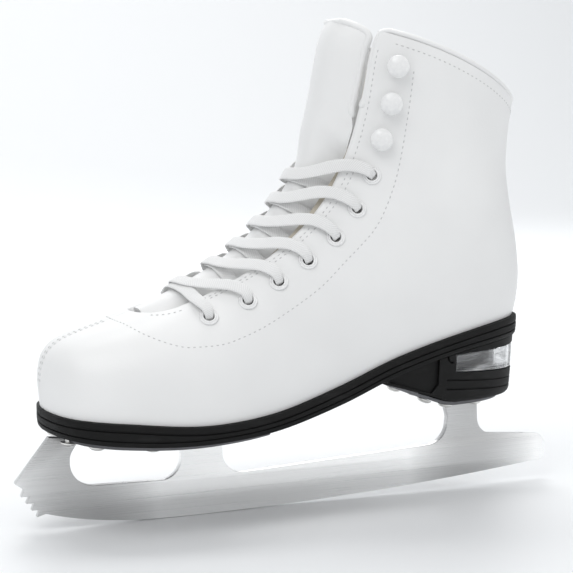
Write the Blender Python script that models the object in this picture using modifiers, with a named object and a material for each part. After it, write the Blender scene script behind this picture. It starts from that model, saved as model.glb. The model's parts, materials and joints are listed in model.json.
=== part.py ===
"""A women's figure skate for the left foot: leather boot, moulded sole and heel, and a screwed-on steel blade.

The toe points to -X, the outer side of the foot to -Y and +Z is up. The origin is on the ground, midway along
the blade and on its mid plane. Shapes are worked out in millimetres from a point 2.3 mm behind that one, become
metres in new_object, and hang on an empty that brings them to the origin.
"""

import math

import bmesh
import bpy
import numpy as np
from mathutils import Matrix, Vector

MM = 0.001
BLADE_MIDDLE = -2.3   # where the middle of the blade's length lies in the tables below
GAP = 0.35            # clearance between pieces that touch
NEAR, FAR = -1, 1     # outer side of the foot, inner side of the foot

# ---------------------------------------------------------------- driving dimensions (mm)
# Layers of the boot's wall, as depths under the outside of the leather.
LEATHER = (0.0, 1.6)
STIFFENER = (2.1, 3.0)
LINING = (3.5, 4.9)
BACKSTAY = (-1.3, -0.5)

WELT = 2.2            # how far the sole's edge stands out past the leather
TOE_WELT = (1.2, 24)  # how much less that is at the toe's tip, and over what length
BOARD = (0.35, 2.6)   # insole board, heights over the sole's top
SOCK = 2.95           # underside of the lining's floor over the sole's top
FOOTBED = (4.9, 8.2)  # loose insole, heights over the sole's top

OUTLINE_POINTS = 30

PLATE_THICK = 2.0
BLADE_THICK = 3.8
HEEL_BOTTOM = 50.6
INSERT_DEPTH = 9.0
INSERT_START = 70     # where the heel's clear insert begins

EYELET_ROWS = 7
HOOK_ROWS = 3
ROW_PITCH = 17.7
EYELET_RADIUS = 4.5
EYELET_BORE = 2.4
HOOK_CAP_RADIUS = 5.4

LACE_WIDTH = 5.0
LACE_THICK = 1.1
AGLET = (1.3, 20.0)   # radius and length

BINDING_RADIUS = 2.75
ROLL_RADIUS = 1.7     # the binding where it runs down the throat's edges
ROLL_START = 0.874    # place where it starts

# The boot's surface is a loft of ribs. Each rib runs from a point under the sole or up the back (BACK) to a
# point on the toe, instep or shin line (FRONT). Columns: FRONT x z, BACK x z, half width, place of the widest
# point along the rib, roundness of its lower and upper part, and how far it bows towards the collar.
RIBS = np.array([
    (-131.6, 67.0, -130.0, 58.0, 0.0, 0.45, 3.0, 2.6, 0.0),
    (-131.3, 74.0, -127.6, 44.0, 8.2, 0.45, 3.0, 2.6, 0.0),
    (-130.3, 78.8, -126.2, 38.0, 13.8, 0.45, 3.0, 2.6, 0.0),
    (-128.0, 84.0, -124.4, 34.0, 20.5, 0.45, 3.0, 2.6, 0.0),
    (-123.8, 88.0, -121.3, 32.0, 27.0, 0.45, 2.9, 2.6, 0.0),
    (-117.0, 91.4, -115.4, 30.5, 32.5, 0.45, 2.9, 2.5, 0.0),
    (-108.0, 94.6, -108.0, 29.5, 36.6, 0.45, 2.9, 2.4, 0.0),
    (-97.0, 98.2, -96.0, 28.5, 39.6, 0.45, 2.8, 2.3, 0.0),
    (-84.0, 102.8, -80.0, 28.0, 41.8, 0.44, 2.8, 2.2, 0.0),
    (-70.0, 108.6, -62.0, 28.0, 42.6, 0.43, 2.7, 2.1, 0.0),
    (-56.0, 115.4, -43.0, 29.0, 42.2, 0.42, 2.6, 2.0, 0.0),
    (-43.0, 122.8, -24.0, 32.0, 41.0, 0.42, 2.5, 2.0, 0.0),
    (-31.0, 131.6, -4.0, 38.0, 39.6, 0.42, 2.4, 2.0, 0.0),
    (-20.5, 141.8, 17.0, 46.0, 38.4, 0.42, 2.4, 2.0, 0.0),
    (-11.5, 152.6, 40.0, 54.0, 37.4, 0.43, 2.3, 2.0, 0.0),
    (-4.8, 163.0, 64.0, 60.0, 36.8, 0.44, 2.3, 2.0, 0.0),
    (-0.6, 172.0, 88.0, 65.0, 36.2, 0.45, 2.2, 2.0, 0.0),
    (2.2, 180.0, 106.0, 74.0, 35.8, 0.46, 2.1, 2.0, 0.0),
    (4.4, 187.8, 116.0, 89.0, 35.4, 0.47, 2.0, 2.0, 0.0),
    (6.4, 195.6, 119.3, 106.0, 35.2, 0.48, 2.0, 2.0, 0.0),
    (8.2, 203.6, 117.8, 124.0, 35.4, 0.49, 2.0, 2.0, 0.0),
    (9.8, 211.6, 113.8, 143.0, 36.0, 0.50, 2.0, 2.0, 0.5),
    (11.4, 219.4, 110.4, 162.0, 36.8, 0.50, 2.0, 2.0, 1.5),
    (13.0, 226.4, 109.8, 177.0, 37.6, 0.50, 2.1, 2.0, 2.4),
    (15.0, 232.0, 111.0, 189.5, 38.4, 0.50, 2.1, 2.0, 3.6),
    (17.5, 236.4, 112.8, 201.0, 39.0, 0.50, 2.1, 2.0, 4.8),
])
TOE_LEAN = 3.0        # how far the toe's tip is set over towards the inner side
ARCH_TUCK = 0.07      # how much narrower the inner side is at the arch

# Height of the sole's top, of its underside and of the heel block's underside, along the foot.
SOLE_TOP = [(-134, 57.2), (-105, 55.2), (-60, 52.0), (-29, 55.2), (4.5, 64.6), (38, 76.5), (72, 85.4),
            (95, 89.4), (121, 91.0)]
SOLE_UNDER = [(-134, 47.6), (-105, 44.6), (-60, 43.4), (-29, 46.6), (4.5, 55.4), (38, 67.4), (72, 76.2),
              (95, 79.6), (121, 81.2)]
HEEL_UNDER = [(28, 63.7), (40, 60.2), (50, 57.1), (57, 55.0), (62, 53.2), (68, 51.3), (73, HEEL_BOTTOM),
              (86, HEEL_BOTTOM), (104, HEEL_BOTTOM), (121, HEEL_BOTTOM + 1.5)]

# The throat is the opening that the laces close: its half width, and where it starts and widens.
THROAT_START = 0.192
THROAT_FULL = 0.265
THROAT_HALF = [(0.0, 19.0), (0.45, 19.4), (0.72, 20.2), (0.85, 22.4), (1.05, 25.5)]
COLLAR_END = 0.981    # where leather and lining stop under the collar binding
# How far the eyelets and hooks stand from the throat's edge, measured across the foot.
ROW_INSET = [(0.25, 9.9), (0.57, 9.9), (0.65, 8.9), (0.725, 7.5), (0.80, 6.8), (0.87, 7.4), (0.95, 8.1)]
TONGUE_HINGE = 0.735  # place on the instep line, level with the last eyelets, where the tongue folds

MATERIALS = {
    # name: (base colour, roughness, metallic)
    "white_leather": ((0.86, 0.86, 0.85), 0.42, 0.0),
    "lining_fabric": ((0.78, 0.78, 0.77), 0.85, 0.0),
    "stiffener": ((0.55, 0.50, 0.42), 0.7, 0.0),
    "insole_board": ((0.45, 0.34, 0.22), 0.8, 0.0),
    "black_rubber": ((0.018, 0.018, 0.019), 0.45, 0.0),
    "clear_plastic": ((0.72, 0.74, 0.76), 0.08, 0.0),
    "brushed_steel": ((0.62, 0.62, 0.62), 0.28, 1.0),
    "dark_steel": ((0.18, 0.18, 0.19), 0.4, 1.0),
    "nickel": ((0.7, 0.7, 0.7), 0.18, 1.0),
    "white_enamel": ((0.85, 0.85, 0.84), 0.3, 0.0),
    "lace_cotton": ((0.84, 0.84, 0.83), 0.8, 0.0),
}


# ---------------------------------------------------------------- scene and materials
def clear_scene():
    for obj in list(bpy.data.objects):
        bpy.data.objects.remove(obj, do_unlink=True)


def new_collection(name):
    collection = bpy.data.collections.new(name)
    bpy.context.scene.collection.children.link(collection)
    return collection


def material(name):
    found = bpy.data.materials.get(name)
    if found:
        return found
    colour, roughness, metallic = MATERIALS[name]
    made = bpy.data.materials.new(name)
    made.use_nodes = True
    shader = made.node_tree.nodes["Principled BSDF"]
    shader.inputs["Base Color"].default_value = (*colour, 1)
    shader.inputs["Roughness"].default_value = roughness
    shader.inputs["Metallic"].default_value = metallic
    return made


def new_object(name, bm, finish, smooth_angle=35):
    """Turns a bmesh in millimetres into a named object in metres."""
    bmesh.ops.scale(bm, vec=(MM, MM, MM), verts=bm.verts)
    mesh = bpy.data.meshes.new(name)
    bm.to_mesh(mesh)
    bm.free()
    mesh.shade_smooth()
    mesh.set_sharp_from_angle(angle=math.radians(smooth_angle))
    if finish:
        mesh.materials.append(material(finish))
    return add_part(bpy.data.objects.new(name, mesh))


def add_part(obj):
    parts.objects.link(obj)
    obj.parent = carrier
    return obj


def as_cutter(obj):
    parts.objects.unlink(obj)
    cutters.objects.link(obj)
    obj.hide_render = True
    obj.display_type = "WIRE"
    return obj


def boolean(obj, other, operation="DIFFERENCE"):
    modifier = obj.modifiers.new(other.name, "BOOLEAN")
    modifier.operation = operation
    modifier.object = other


# ---------------------------------------------------------------- curves and the boot's surface
def smooth_slopes(x, y):
    """Slopes of a smooth curve through the points, for each column of y."""
    step = np.diff(x)[:, None]
    chord = np.diff(y, axis=0) / step
    slopes = np.empty_like(y)
    slopes[1:-1] = (chord[:-1] * step[1:] + chord[1:] * step[:-1]) / (step[:-1] + step[1:])
    slopes[0], slopes[-1] = chord[0], chord[-1]
    return slopes


def follow(x, y, slopes, at):
    """The smooth curve's columns at the places given, going on straight past either end."""
    at = np.asarray(at, float)
    inside = np.clip(at, x[0], x[-1])
    i = np.clip(np.searchsorted(x, inside, side="right") - 1, 0, len(x) - 2)
    step = (x[i + 1] - x[i])[..., None]
    u = (inside - x[i])[..., None] / step
    value = ((2 * u**3 - 3 * u**2 + 1) * y[i] + (u**3 - 2 * u**2 + u) * step * slopes[i]
             + (3 * u**2 - 2 * u**3) * y[i + 1] + (u**3 - u**2) * step * slopes[i + 1])
    end_slope = np.where((at < x[0])[..., None], slopes[0], slopes[-1])
    return value + end_slope * (at - inside)[..., None]


def curve_through(points):
    """A function of one number that passes smoothly through (x, y) points."""
    table = np.array(points, float)
    x, y = table[:, 0], table[:, 1:]
    slopes = smooth_slopes(x, y)
    return lambda at: follow(x, y, slopes, at)[..., 0]


sole_top = curve_through(SOLE_TOP)
sole_under = curve_through(SOLE_UNDER)
heel_curve = curve_through(HEEL_UNDER)
throat_half = curve_through(THROAT_HALF)
row_inset = curve_through(ROW_INSET)


def heel_under(x):
    return np.maximum(heel_curve(x), HEEL_BOTTOM)


def rib_places():
    """A rib's place t runs from 0 at the toe's tip to 1 at the collar, spaced by the distance between ribs."""
    front = np.hypot(*np.diff(RIBS[:, 0:2], axis=0).T)
    back = np.hypot(*np.diff(RIBS[:, 2:4], axis=0).T)
    step = (front + back) / 2
    step[0] = 8.0
    places = np.concatenate([[0.0], np.cumsum(step)])
    return places / places[-1]


RIB_AT = rib_places()
RIB_SLOPES = smooth_slopes(RIB_AT, RIBS)


def rib(t):
    return np.moveaxis(follow(RIB_AT, RIBS, RIB_SLOPES, t), -1, 0)


def half_width(t, side):
    """The rib's greatest half width, a little less on the inner side at the arch."""
    tuck = ARCH_TUCK * np.exp(-(((np.asarray(t) - 0.47) / 0.12) ** 2)) * (side > 0)
    return np.maximum(rib(t)[4], 0) * (1 - tuck)


def centre_line(t):
    return TOE_LEAN * np.clip(1 - np.asarray(t) / 0.4, 0, 1) ** 2


def skin_base(t, s, side):
    front_x, front_z, back_x, back_z, _, widest, low_n, high_n, bow = rib(t)
    length = np.hypot(front_x - back_x, front_z - back_z) + 1e-9
    lift = 4 * s * (1 - s) * bow / length
    x = back_x + (front_x - back_x) * s + (front_z - back_z) * lift
    z = back_z + (front_z - back_z) * s - (front_x - back_x) * lift
    low = np.clip((widest - s) / widest, 0, 1)
    high = np.clip((s - widest) / (1 - widest), 0, 1)
    share = np.where(s < widest, (1 - low**low_n) ** (1 / low_n), (1 - high**high_n) ** (1 / high_n))
    return np.stack([x, centre_line(t) + side * half_width(t, side) * share, z], -1)


def skin_normal(t, s, side):
    """Outward normals. s = sin^2(angle / 2) keeps the steps even where the surface turns over at a rib's ends."""
    t_in = np.clip(t, 0.004, 1.02)
    angle = np.arccos(np.clip(1 - 2 * s, -1, 1))
    angle_in = np.clip(angle, 0.06, math.pi - 0.06)

    def at(t_step, angle_step):
        return skin_base(t_in + t_step, np.sin((angle_in + angle_step) / 2) ** 2, side)

    along = at(0.002, 0) - at(-0.002, 0)
    across = at(0, 0.02) - at(0, -0.02)
    normal = np.cross(along, across)
    normal /= np.linalg.norm(normal, axis=-1, keepdims=True) + 1e-12
    front_x, front_z, back_x, back_z = rib(t_in)[:4]
    middle = np.stack([(front_x + back_x) / 2, centre_line(t_in), (front_z + back_z) / 2], -1)
    outward = np.sign(np.sum(normal * (at(0, 0) - middle), axis=-1, keepdims=True))
    normal *= np.where(outward == 0, 1, outward)
    at_seam = np.minimum(angle, math.pi - angle) / 0.06
    normal[..., 1] *= np.clip(np.minimum(at_seam, np.asarray(t) / 0.004), 0, 1)
    return normal / (np.linalg.norm(normal, axis=-1, keepdims=True) + 1e-12)


def skin(t, s, side, depth=0.0):
    """A point on the boot's surface, or the given depth under it."""
    t, s = np.broadcast_arrays(np.asarray(t, float), np.asarray(s, float))
    depth = np.broadcast_to(np.asarray(depth, float), t.shape)
    return skin_base(t, s, side) - skin_normal(t, s, side) * depth[..., None]


def place_at_width(t, width, side, upper=True):
    """The place s along a rib where the surface is this far from the centre line."""
    _, _, _, _, _, widest, low_n, high_n, _ = rib(t)
    share = np.clip(width / np.maximum(half_width(t, side), 1e-6), 0, 1)
    if upper:
        return widest + (1 - widest) * (1 - share**high_n) ** (1 / high_n)
    return widest * (1 - (1 - share**low_n) ** (1 / low_n))


def place_at_sole(t, raise_by=0.0):
    """The place s along a rib where it passes the sole's top; 0 where the whole rib is above it."""
    low = np.zeros_like(t)
    high = np.full_like(t, 0.6)

    def above(s):
        point = skin_base(t, s, NEAR)
        return point[..., 2] > sole_top(point[..., 0]) + raise_by

    clear = above(low)
    for _ in range(30):
        middle = (low + high) / 2
        over = above(middle)
        high = np.where(over, middle, high)
        low = np.where(over, low, middle)
    return np.where(clear, 0.0, high)


def heel_place():
    """The first rib whose lower end is above the sole's top, at the back of the heel."""
    t = np.linspace(0.4, 0.9, 4001)
    return float(t[np.argmax(place_at_sole(t) == 0)])


HEEL_AT = heel_place()


def throat_width(t):
    """Half width of the throat: a rounded start, then its full width."""
    t = np.asarray(t, float)
    rise = np.clip((THROAT_FULL - t) / (THROAT_FULL - THROAT_START), 0, 1)
    return throat_half(t) * (1 - rise**2.2) ** (1 / 2.2)


def row_width(t):
    """Half width on which the eyelets and hooks stand."""
    return throat_width(t) + row_inset(t)


def throat_edge(t, side):
    return place_at_width(t, throat_width(t), side)


def wall_places():
    """Places of the wall's rows, closer together at the toe, at the throat's start and where the heel turns up."""
    toe = (0.0, 0.006, 0.014, 0.03, 0.055, 0.085, 0.12, 0.155)
    throat = (THROAT_START, 0.2, 0.212, 0.235)
    heel = [HEEL_AT + step for step in (-0.027, -0.012, -0.003, 0.0, 0.0015, 0.009)]
    shaft = np.linspace(THROAT_FULL, COLLAR_END, 13)
    return np.unique(np.round(np.concatenate([toe, throat, heel, shaft]), 5))


def rib_angles(low, high, count):
    """Rows of places s between the two edges, even in the angle round the rib."""
    start = np.arccos(np.clip(1 - 2 * low, -1, 1))[:, None]
    end = np.arccos(np.clip(1 - 2 * high, -1, 1))[:, None]
    s = np.sin((start + (end - start) * np.linspace(0, 1, count)[None, :]) / 2) ** 2
    return np.where(s > 1 - 1e-6, 1.0, np.where(s < 1e-6, 0.0, s))


WALL_COLUMNS = 8


def wall_grid(side, first=0.0, last=1.0):
    """Rows t and places s that every layer of the wall shares, so that their facets stay parallel.

    Column 0 is at the sole's top, column 1 at the insole board's top and the last one at the throat's edge.
    """
    t = wall_places()
    t = t[(t >= first) & (t <= last)]
    foot = place_at_sole(t, GAP)[:, None]
    s = rib_angles(place_at_sole(t, SOCK), throat_edge(t, side), WALL_COLUMNS)
    return t, np.concatenate([foot, s], axis=1)


# ---------------------------------------------------------------- mesh builders
def slab(name, patches, finish, seam=0.0):
    """A closed shell from grids (outer, inner, side, names), one point where names are the same."""
    bm = bmesh.new()
    found, pairs, faces = {}, [], {}
    for outer, inner, side, names in patches:
        rows, columns, _ = outer.shape
        index = np.empty((rows, columns), int)
        for i in range(rows):
            for j in range(columns):
                key = names[i][j]
                if key not in found:
                    found[key] = len(pairs)
                    shift = np.array([0, side * seam, 0])
                    pairs.append((bm.verts.new(outer[i, j] + shift), bm.verts.new(inner[i, j] + shift)))
                index[i, j] = found[key]
        for i in range(rows - 1):
            for j in range(columns - 1):
                a, b, c, d = index[i, j], index[i, j + 1], index[i + 1, j + 1], index[i + 1, j]
                for corners in ((a, b, c), (a, c, d)):
                    # A triangle that both sides share lies flat on the centre line, so neither is kept.
                    if len(set(corners)) == 3 and not faces.pop(frozenset(corners), None):
                        faces[frozenset(corners)] = corners if side > 0 else corners[::-1]
    for corners in faces.values():
        bm.faces.new([pairs[k][0] for k in corners])
    inner_of = dict(pairs)
    rim = [edge for edge in bm.edges if edge.is_boundary]
    for face in list(bm.faces):
        bm.faces.new([inner_of[v] for v in reversed(face.verts)])
    for edge in rim:
        a, b = edge.verts
        bm.faces.new([b, a, inner_of[a], inner_of[b]])
    bmesh.ops.delete(bm, geom=[v for v in bm.verts if not v.link_faces], context="VERTS")
    bmesh.ops.recalc_face_normals(bm, faces=bm.faces)
    return new_object(name, bm, finish)


def skin_patch(t, s, side, layer):
    """Outer and inner grids of one layer of the wall. The two sides share their points on the centre line."""
    names = [[(i, place, 0 if place in (0.0, 1.0) or t[i] == 0.0 else side) for place in row]
             for i, row in enumerate(np.round(s, 6))]
    t = np.broadcast_to(t[:, None], s.shape)
    return skin(t, s, side, layer[0]), skin(t, s, side, layer[1]), side, names


def sole_outline(offset):
    """The sole's outline: matching points on both sides from toe to heel, offset from the boot's lower edge."""
    t = HEEL_AT * np.linspace(0, 1, 400)
    s = place_at_sole(t)
    s[-1] = 0.0
    u = np.linspace(0, 1, OUTLINE_POINTS)
    share = 0.6 * u + 0.4 * (1 - np.cos(math.pi * u)) / 2
    lines = []
    for side in (NEAR, FAR):
        edge = skin_base(t, s, side)[:, :2]
        along = np.concatenate([[0], np.cumsum(np.linalg.norm(np.diff(edge, axis=0), axis=1))])
        line = np.stack([np.interp(share * along[-1], along, edge[:, k]) for k in (0, 1)], 1)
        tangent = line[2:] - line[:-2]
        tangent = np.concatenate([[(0, side)], tangent, [(0, -side)]])
        tangent /= np.linalg.norm(tangent, axis=1, keepdims=True)
        normal = np.stack([tangent[:, 1], -tangent[:, 0]], 1) * -side
        toe = np.clip(1 - (line[:, :1] - line[0, 0]) / TOE_WELT[1], 0, 1) ** 2
        lines.append(line + normal * (offset - TOE_WELT[0] * toe))
    near, far = lines
    near[0] = far[0] = (near[0] + far[0]) / 2
    near[-1] = far[-1] = (near[-1] + far[-1]) / 2
    return near, far


def prism(name, layers, finish, start_x=None, end_x=None):
    """A loft through layers of (outline offset, height function), top first, closed with strips across it."""
    bm = bmesh.new()
    base = sole_outline(0)[0][:, 0]
    keep = np.ones(len(base), bool)
    if start_x is not None:
        keep &= base >= start_x
    if end_x is not None:
        keep &= base <= end_x
    first, last = np.flatnonzero(keep)[[0, -1]]
    pointed_start, pointed_end = first == 0, last == len(base) - 1
    loops = []
    for offset, height in layers:
        near, far = (line[first:last + 1].copy() for line in sole_outline(offset))
        rows = []
        for line in (near, far):
            if start_x is not None and not pointed_start:
                line[0, 0] = start_x
            if end_x is not None and not pointed_end:
                line[-1, 0] = end_x
            rows.append([bm.verts.new((x, y, height(x))) for x, y in line])
        if pointed_start:
            bm.verts.remove(rows[1][0])
            rows[1][0] = rows[0][0]
        if pointed_end:
            bm.verts.remove(rows[1][-1])
            rows[1][-1] = rows[0][-1]
        loops.append(rows)
    count = last - first + 1

    def quad(corners):
        corners = [v for k, v in enumerate(corners) if v is not corners[k - 1]]
        if len(corners) > 2:
            bm.faces.new(corners)

    for (near, far), (near_low, far_low) in zip(loops, loops[1:]):
        for i in range(count - 1):
            quad([near[i], near_low[i], near_low[i + 1], near[i + 1]])
            quad([far[i + 1], far_low[i + 1], far_low[i], far[i]])
        for pointed, i in ((pointed_start, 0), (pointed_end, -1)):
            if not pointed:
                quad([far[i], far_low[i], near_low[i], near[i]])
    for near, far in (loops[0], loops[-1]):
        for i in range(count - 1):
            quad([near[i], near[i + 1], far[i + 1], far[i]])
    bmesh.ops.recalc_face_normals(bm, faces=bm.faces)
    return new_object(name, bm, finish)


def turned(name, profile, finish, matrix, steps=16):
    """A turned piece: a profile of (radius, height) in mm that runs down the outer side, spun about its axis."""
    bm = bmesh.new()
    verts = [bm.verts.new((radius, 0, height)) for radius, height in profile]
    for a, b in zip(verts, verts[1:]):
        bm.edges.new((a, b))
    if profile[0][0] > 0:
        bm.edges.new((verts[-1], verts[0]))
    obj = new_object(name, bm, finish)
    screw = obj.modifiers.new("turn", "SCREW")
    screw.steps = screw.render_steps = steps
    screw.use_merge_vertices = True
    screw.merge_threshold = 0.00001
    obj.matrix_basis = matrix
    return obj


def cylinders(name, places, radius, depth, sides=10):
    """One cutter that holds a cylinder at each matrix, centred there."""
    bm = bmesh.new()
    for place in places:
        made = bmesh.ops.create_cone(bm, cap_ends=True, segments=sides, radius1=radius, radius2=radius, depth=depth)
        unscaled = Matrix.Translation(place.translation / MM) @ place.to_3x3().to_4x4()
        bmesh.ops.transform(bm, matrix=unscaled, verts=made["verts"])
    return as_cutter(new_object(name, bm, None))


def facing_matrix(point, normal, along):
    """A matrix in metres whose Z is the surface's normal and whose X points along the given direction."""
    z_axis = Vector(normal).normalized()
    x_axis = Vector(along) - z_axis * Vector(along).dot(z_axis)
    x_axis.normalize()
    y_axis = z_axis.cross(x_axis)
    matrix = Matrix((x_axis, y_axis, z_axis)).transposed().to_4x4()
    matrix.translation = Vector(point) * MM
    return matrix


def ribbon(name, points, normals, widths, thicks, finish):
    """A flat cord along a route: a four-sided section that keeps to the normals given."""
    bm = bmesh.new()
    points = np.array(points)
    tangents = np.gradient(points, axis=0)
    corners = [(0.5, 0.5), (-0.5, 0.5), (-0.5, -0.5), (0.5, -0.5)]
    rings = []
    last_sideways = None
    for point, tangent, normal, width, thick in zip(points, tangents, normals, widths, thicks):
        tangent = tangent / np.linalg.norm(tangent)
        sideways = np.cross(tangent, normal)
        sideways /= np.linalg.norm(sideways)
        if last_sideways is not None and sideways @ last_sideways < 0:
            sideways = -sideways
        last_sideways = sideways
        up = np.cross(sideways, tangent)
        rings.append([bm.verts.new(point + sideways * a * width + up * b * thick) for a, b in corners])
    for ring, following in zip(rings, rings[1:]):
        for k in range(len(corners)):
            bm.faces.new((ring[k - 1], ring[k], following[k], following[k - 1]))
    bm.faces.new(rings[0])
    bm.faces.new(rings[-1][::-1])
    bmesh.ops.recalc_face_normals(bm, faces=bm.faces)
    return new_object(name, bm, finish, smooth_angle=60)


def tube(name, points, radius, finish, shares=None):
    """A round tube along points in mm, as a curve with filled caps; shares of the radius may vary along it."""
    data = bpy.data.curves.new(name, "CURVE")
    data.dimensions = "3D"
    data.bevel_depth = radius * MM
    data.bevel_resolution = 2
    data.use_fill_caps = True
    spline = data.splines.new("POLY")
    spline.points.add(len(points) - 1)
    for slot, point, share in zip(spline.points, points, np.ones(len(points)) if shares is None else shares):
        slot.co = (*(np.array(point) * MM), 1)
        slot.radius = share
    data.materials.append(material(finish))
    return add_part(bpy.data.objects.new(name, data))


# ---------------------------------------------------------------- boot: leather, stiffeners and lining
def side_name(side):
    return "outer" if side == NEAR else "inner"


def build_upper(side):
    """One half of the leather: closed over the toe, open at the throat, meeting the other half at the back."""
    t, s = wall_grid(side)
    return slab(f"upper_{side_name(side)}", [skin_patch(t, s, side, LEATHER)], "white_leather", seam=GAP / 2)


def build_stiffener(name, first, last, columns):
    """A stiff layer between leather and lining, over both sides, on some of the wall's rows and columns."""
    patches = []
    for side in (NEAR, FAR):
        t, s = wall_grid(side, first, last)
        patches.append(skin_patch(t, s[:, columns], side, STIFFENER))
    return slab(name, patches, "stiffener")


def build_eyelet_stay(side):
    t, s = wall_grid(side, first=0.21)
    return slab(f"eyelet_stay_{side_name(side)}", [skin_patch(t, s[:, -3:], side, STIFFENER)], "stiffener")


def build_lining():
    """The sock that lines the boot: both walls, and a floor where the ribs pass under the insole board's top."""
    thick = LINING[1] - LINING[0]
    patches = []
    for side in (NEAR, FAR):
        t, s = wall_grid(side)
        floor = s[:, 1:2] * np.array([0.0, 0.5])
        outer, inner, _, names = skin_patch(t, np.concatenate([floor, s[:, 1:]], axis=1), side, LINING)
        for grid, level in ((outer, SOCK), (inner, SOCK + thick)):
            grid[..., 2] = np.maximum(grid[..., 2], sole_top(grid[..., 0]) + level)
        patches.append((outer, inner, side, names))
    return slab("lining", patches, "lining_fabric")


def build_backstay():
    """The strip that covers the back seam, from the sole to the collar."""
    patches = []
    for side in (NEAR, FAR):
        t, s = wall_grid(side, first=HEEL_AT + 0.001)
        patches.append(skin_patch(t, s[:, :3], side, BACKSTAY))
    return slab("backstay", patches, "white_leather")


def build_collar_binding():
    """The rolled edge: up both throat edges near the top, where it is slimmer, and round the collar."""
    middle = (LEATHER[0] + LINING[1]) / 2
    points, shares = [], []
    for side in (NEAR, FAR):
        run = []
        for t in np.linspace(ROLL_START, COLLAR_END, 7):
            s = place_at_width(t, throat_width(t) - ROLL_RADIUS - GAP, side)
            run.append((skin(t, s, side, middle), ROLL_RADIUS))
        for out, lift, radius in ((-1.7, 2.0, 1.9), (0.6, BINDING_RADIUS + 0.25, 2.4)):
            run.append((over_collar(throat_width(COLLAR_END) + out, lift, side, middle), radius))
        start = place_at_width(COLLAR_END, throat_width(COLLAR_END) + 5, side)
        angle = math.acos(1 - 2 * float(start))
        for k in range(13, 0, -1):
            s = math.sin(angle * k / 26) ** 2
            run.append((collar_point(s, BINDING_RADIUS + GAP, side, middle), BINDING_RADIUS))
        if side == NEAR:
            run.append((collar_point(0.0, BINDING_RADIUS + GAP, side, middle), BINDING_RADIUS))
        else:
            run = run[::-1]
        points += [point for point, _ in run]
        shares += [radius / BINDING_RADIUS for _, radius in run]
    route = smooth_route(np.column_stack([points, shares]), 50)
    return tube("collar_binding", route[:, :3], BINDING_RADIUS, "white_leather", np.clip(route[:, 3], 0.6, 1.0))


def collar_point(s, lift, side, depth):
    """A point this far above the collar's edge, along the wall."""
    rise = skin_base(COLLAR_END + 0.004, s, side) - skin_base(COLLAR_END - 0.004, s, side)
    return skin(COLLAR_END, s, side, depth) + rise / np.linalg.norm(rise) * lift


def over_collar(width, lift, side, depth):
    return collar_point(place_at_width(COLLAR_END, width, side), lift, side, depth)


def smooth_route(points, count):
    """Evenly spaced points on a smooth curve through the route."""
    points = np.array(points, float)
    along = np.concatenate([[0], np.cumsum(np.linalg.norm(np.diff(points[:, :3], axis=0), axis=1))])
    slopes = smooth_slopes(along, points)
    return follow(along, points, slopes, np.linspace(0, along[-1], count))


# ---------------------------------------------------------------- tongue
def tongue_depth(t, y):
    """Depth of the tongue's outer face: crowned between the facings, deeper under the laces and the facings."""
    gap = throat_width(t)
    crown = -0.2 + 2.9 * smooth_step((t - 0.62) / 0.12)
    buried = LINING[1] + 2.2 + 1.8 * smooth_step((y - gap) / 6.0) if t < TONGUE_HINGE else 2.6
    dip = smooth_step((y - 4.0) / (gap - 5.0))
    return -crown * (1 - dip) + buried * dip


def tongue_grid(t, half):
    """Outer and inner grids of the tongue, thinner towards its sides."""
    across = np.linspace(-1, 1, 11)
    outer = np.empty((len(t), len(across), 3))
    inner = np.empty_like(outer)
    for i, place in enumerate(t):
        for j, u in enumerate(across):
            side = NEAR if u <= 0 else FAR
            y = abs(u) * half[i]
            top = tongue_depth(place, y)
            s = place_at_width(place, y, side)
            outer[i, j] = skin(place, s, side, top)
            inner[i, j] = skin(place, s, side, top + 7.5 - 4.7 * abs(u) ** 1.6)
    return outer, inner, FAR, [[(i, j) for j in range(len(across))] for i in range(len(t))]


def smooth_step(u):
    u = np.clip(u, 0, 1)
    return u * u * (3 - 2 * u)


def build_tongue():
    """The root is held under the laces; the upper part folds forward about the hinge line."""
    root_t = np.linspace(THROAT_START + 0.012, TONGUE_HINGE - 0.002, 17)
    root_half = np.minimum(throat_width(root_t) + 11.0, 30.0) - 7.0 * smooth_step((root_t - 0.63) / 0.06)
    root_half[0] = 16.0
    upper_t = np.linspace(TONGUE_HINGE + 0.002, 1.004, 11)
    upper_half = throat_width(upper_t) - 0.8 - 3.7 * smooth_step((upper_t - 0.81) / 0.05)
    slab("tongue_root", [tongue_grid(root_t, root_half)], "white_leather")
    slab("tongue_upper", [tongue_grid(upper_t, upper_half)], "white_leather")


# ---------------------------------------------------------------- eyelets, hooks and lace
def row_places(side):
    """Places t of the eyelet and hook rows, evenly pitched along the line they stand on."""
    t = np.linspace(THROAT_FULL, 1.0, 900)
    line = skin_base(t, place_at_width(t, row_width(t), side), side)
    along = np.concatenate([[0], np.cumsum(np.linalg.norm(np.diff(line, axis=0), axis=1))])
    first = np.interp(0.295, t, along)
    marks = first + ROW_PITCH * 1.15 * np.minimum(np.arange(EYELET_ROWS + HOOK_ROWS), 1)
    marks += ROW_PITCH * np.maximum(np.arange(EYELET_ROWS + HOOK_ROWS) - 1, 0)
    return np.interp(marks, along, t)


def row_matrix(t, side, depth=0.0):
    s = place_at_width(t, row_width(t), side)
    towards_throat = skin_base(t, s + 0.02, side) - skin_base(t, s, side)
    return facing_matrix(skin(t, s, side, depth), skin_normal(t, s, side), -towards_throat)


EYELET_PROFILE = [(EYELET_BORE, 0.6), (3.2, 1.15), (EYELET_RADIUS, 0.8), (EYELET_RADIUS, 0.4), (2.95, 0.4),
                  (2.95, -5.2), (EYELET_BORE, -5.2)]


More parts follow.
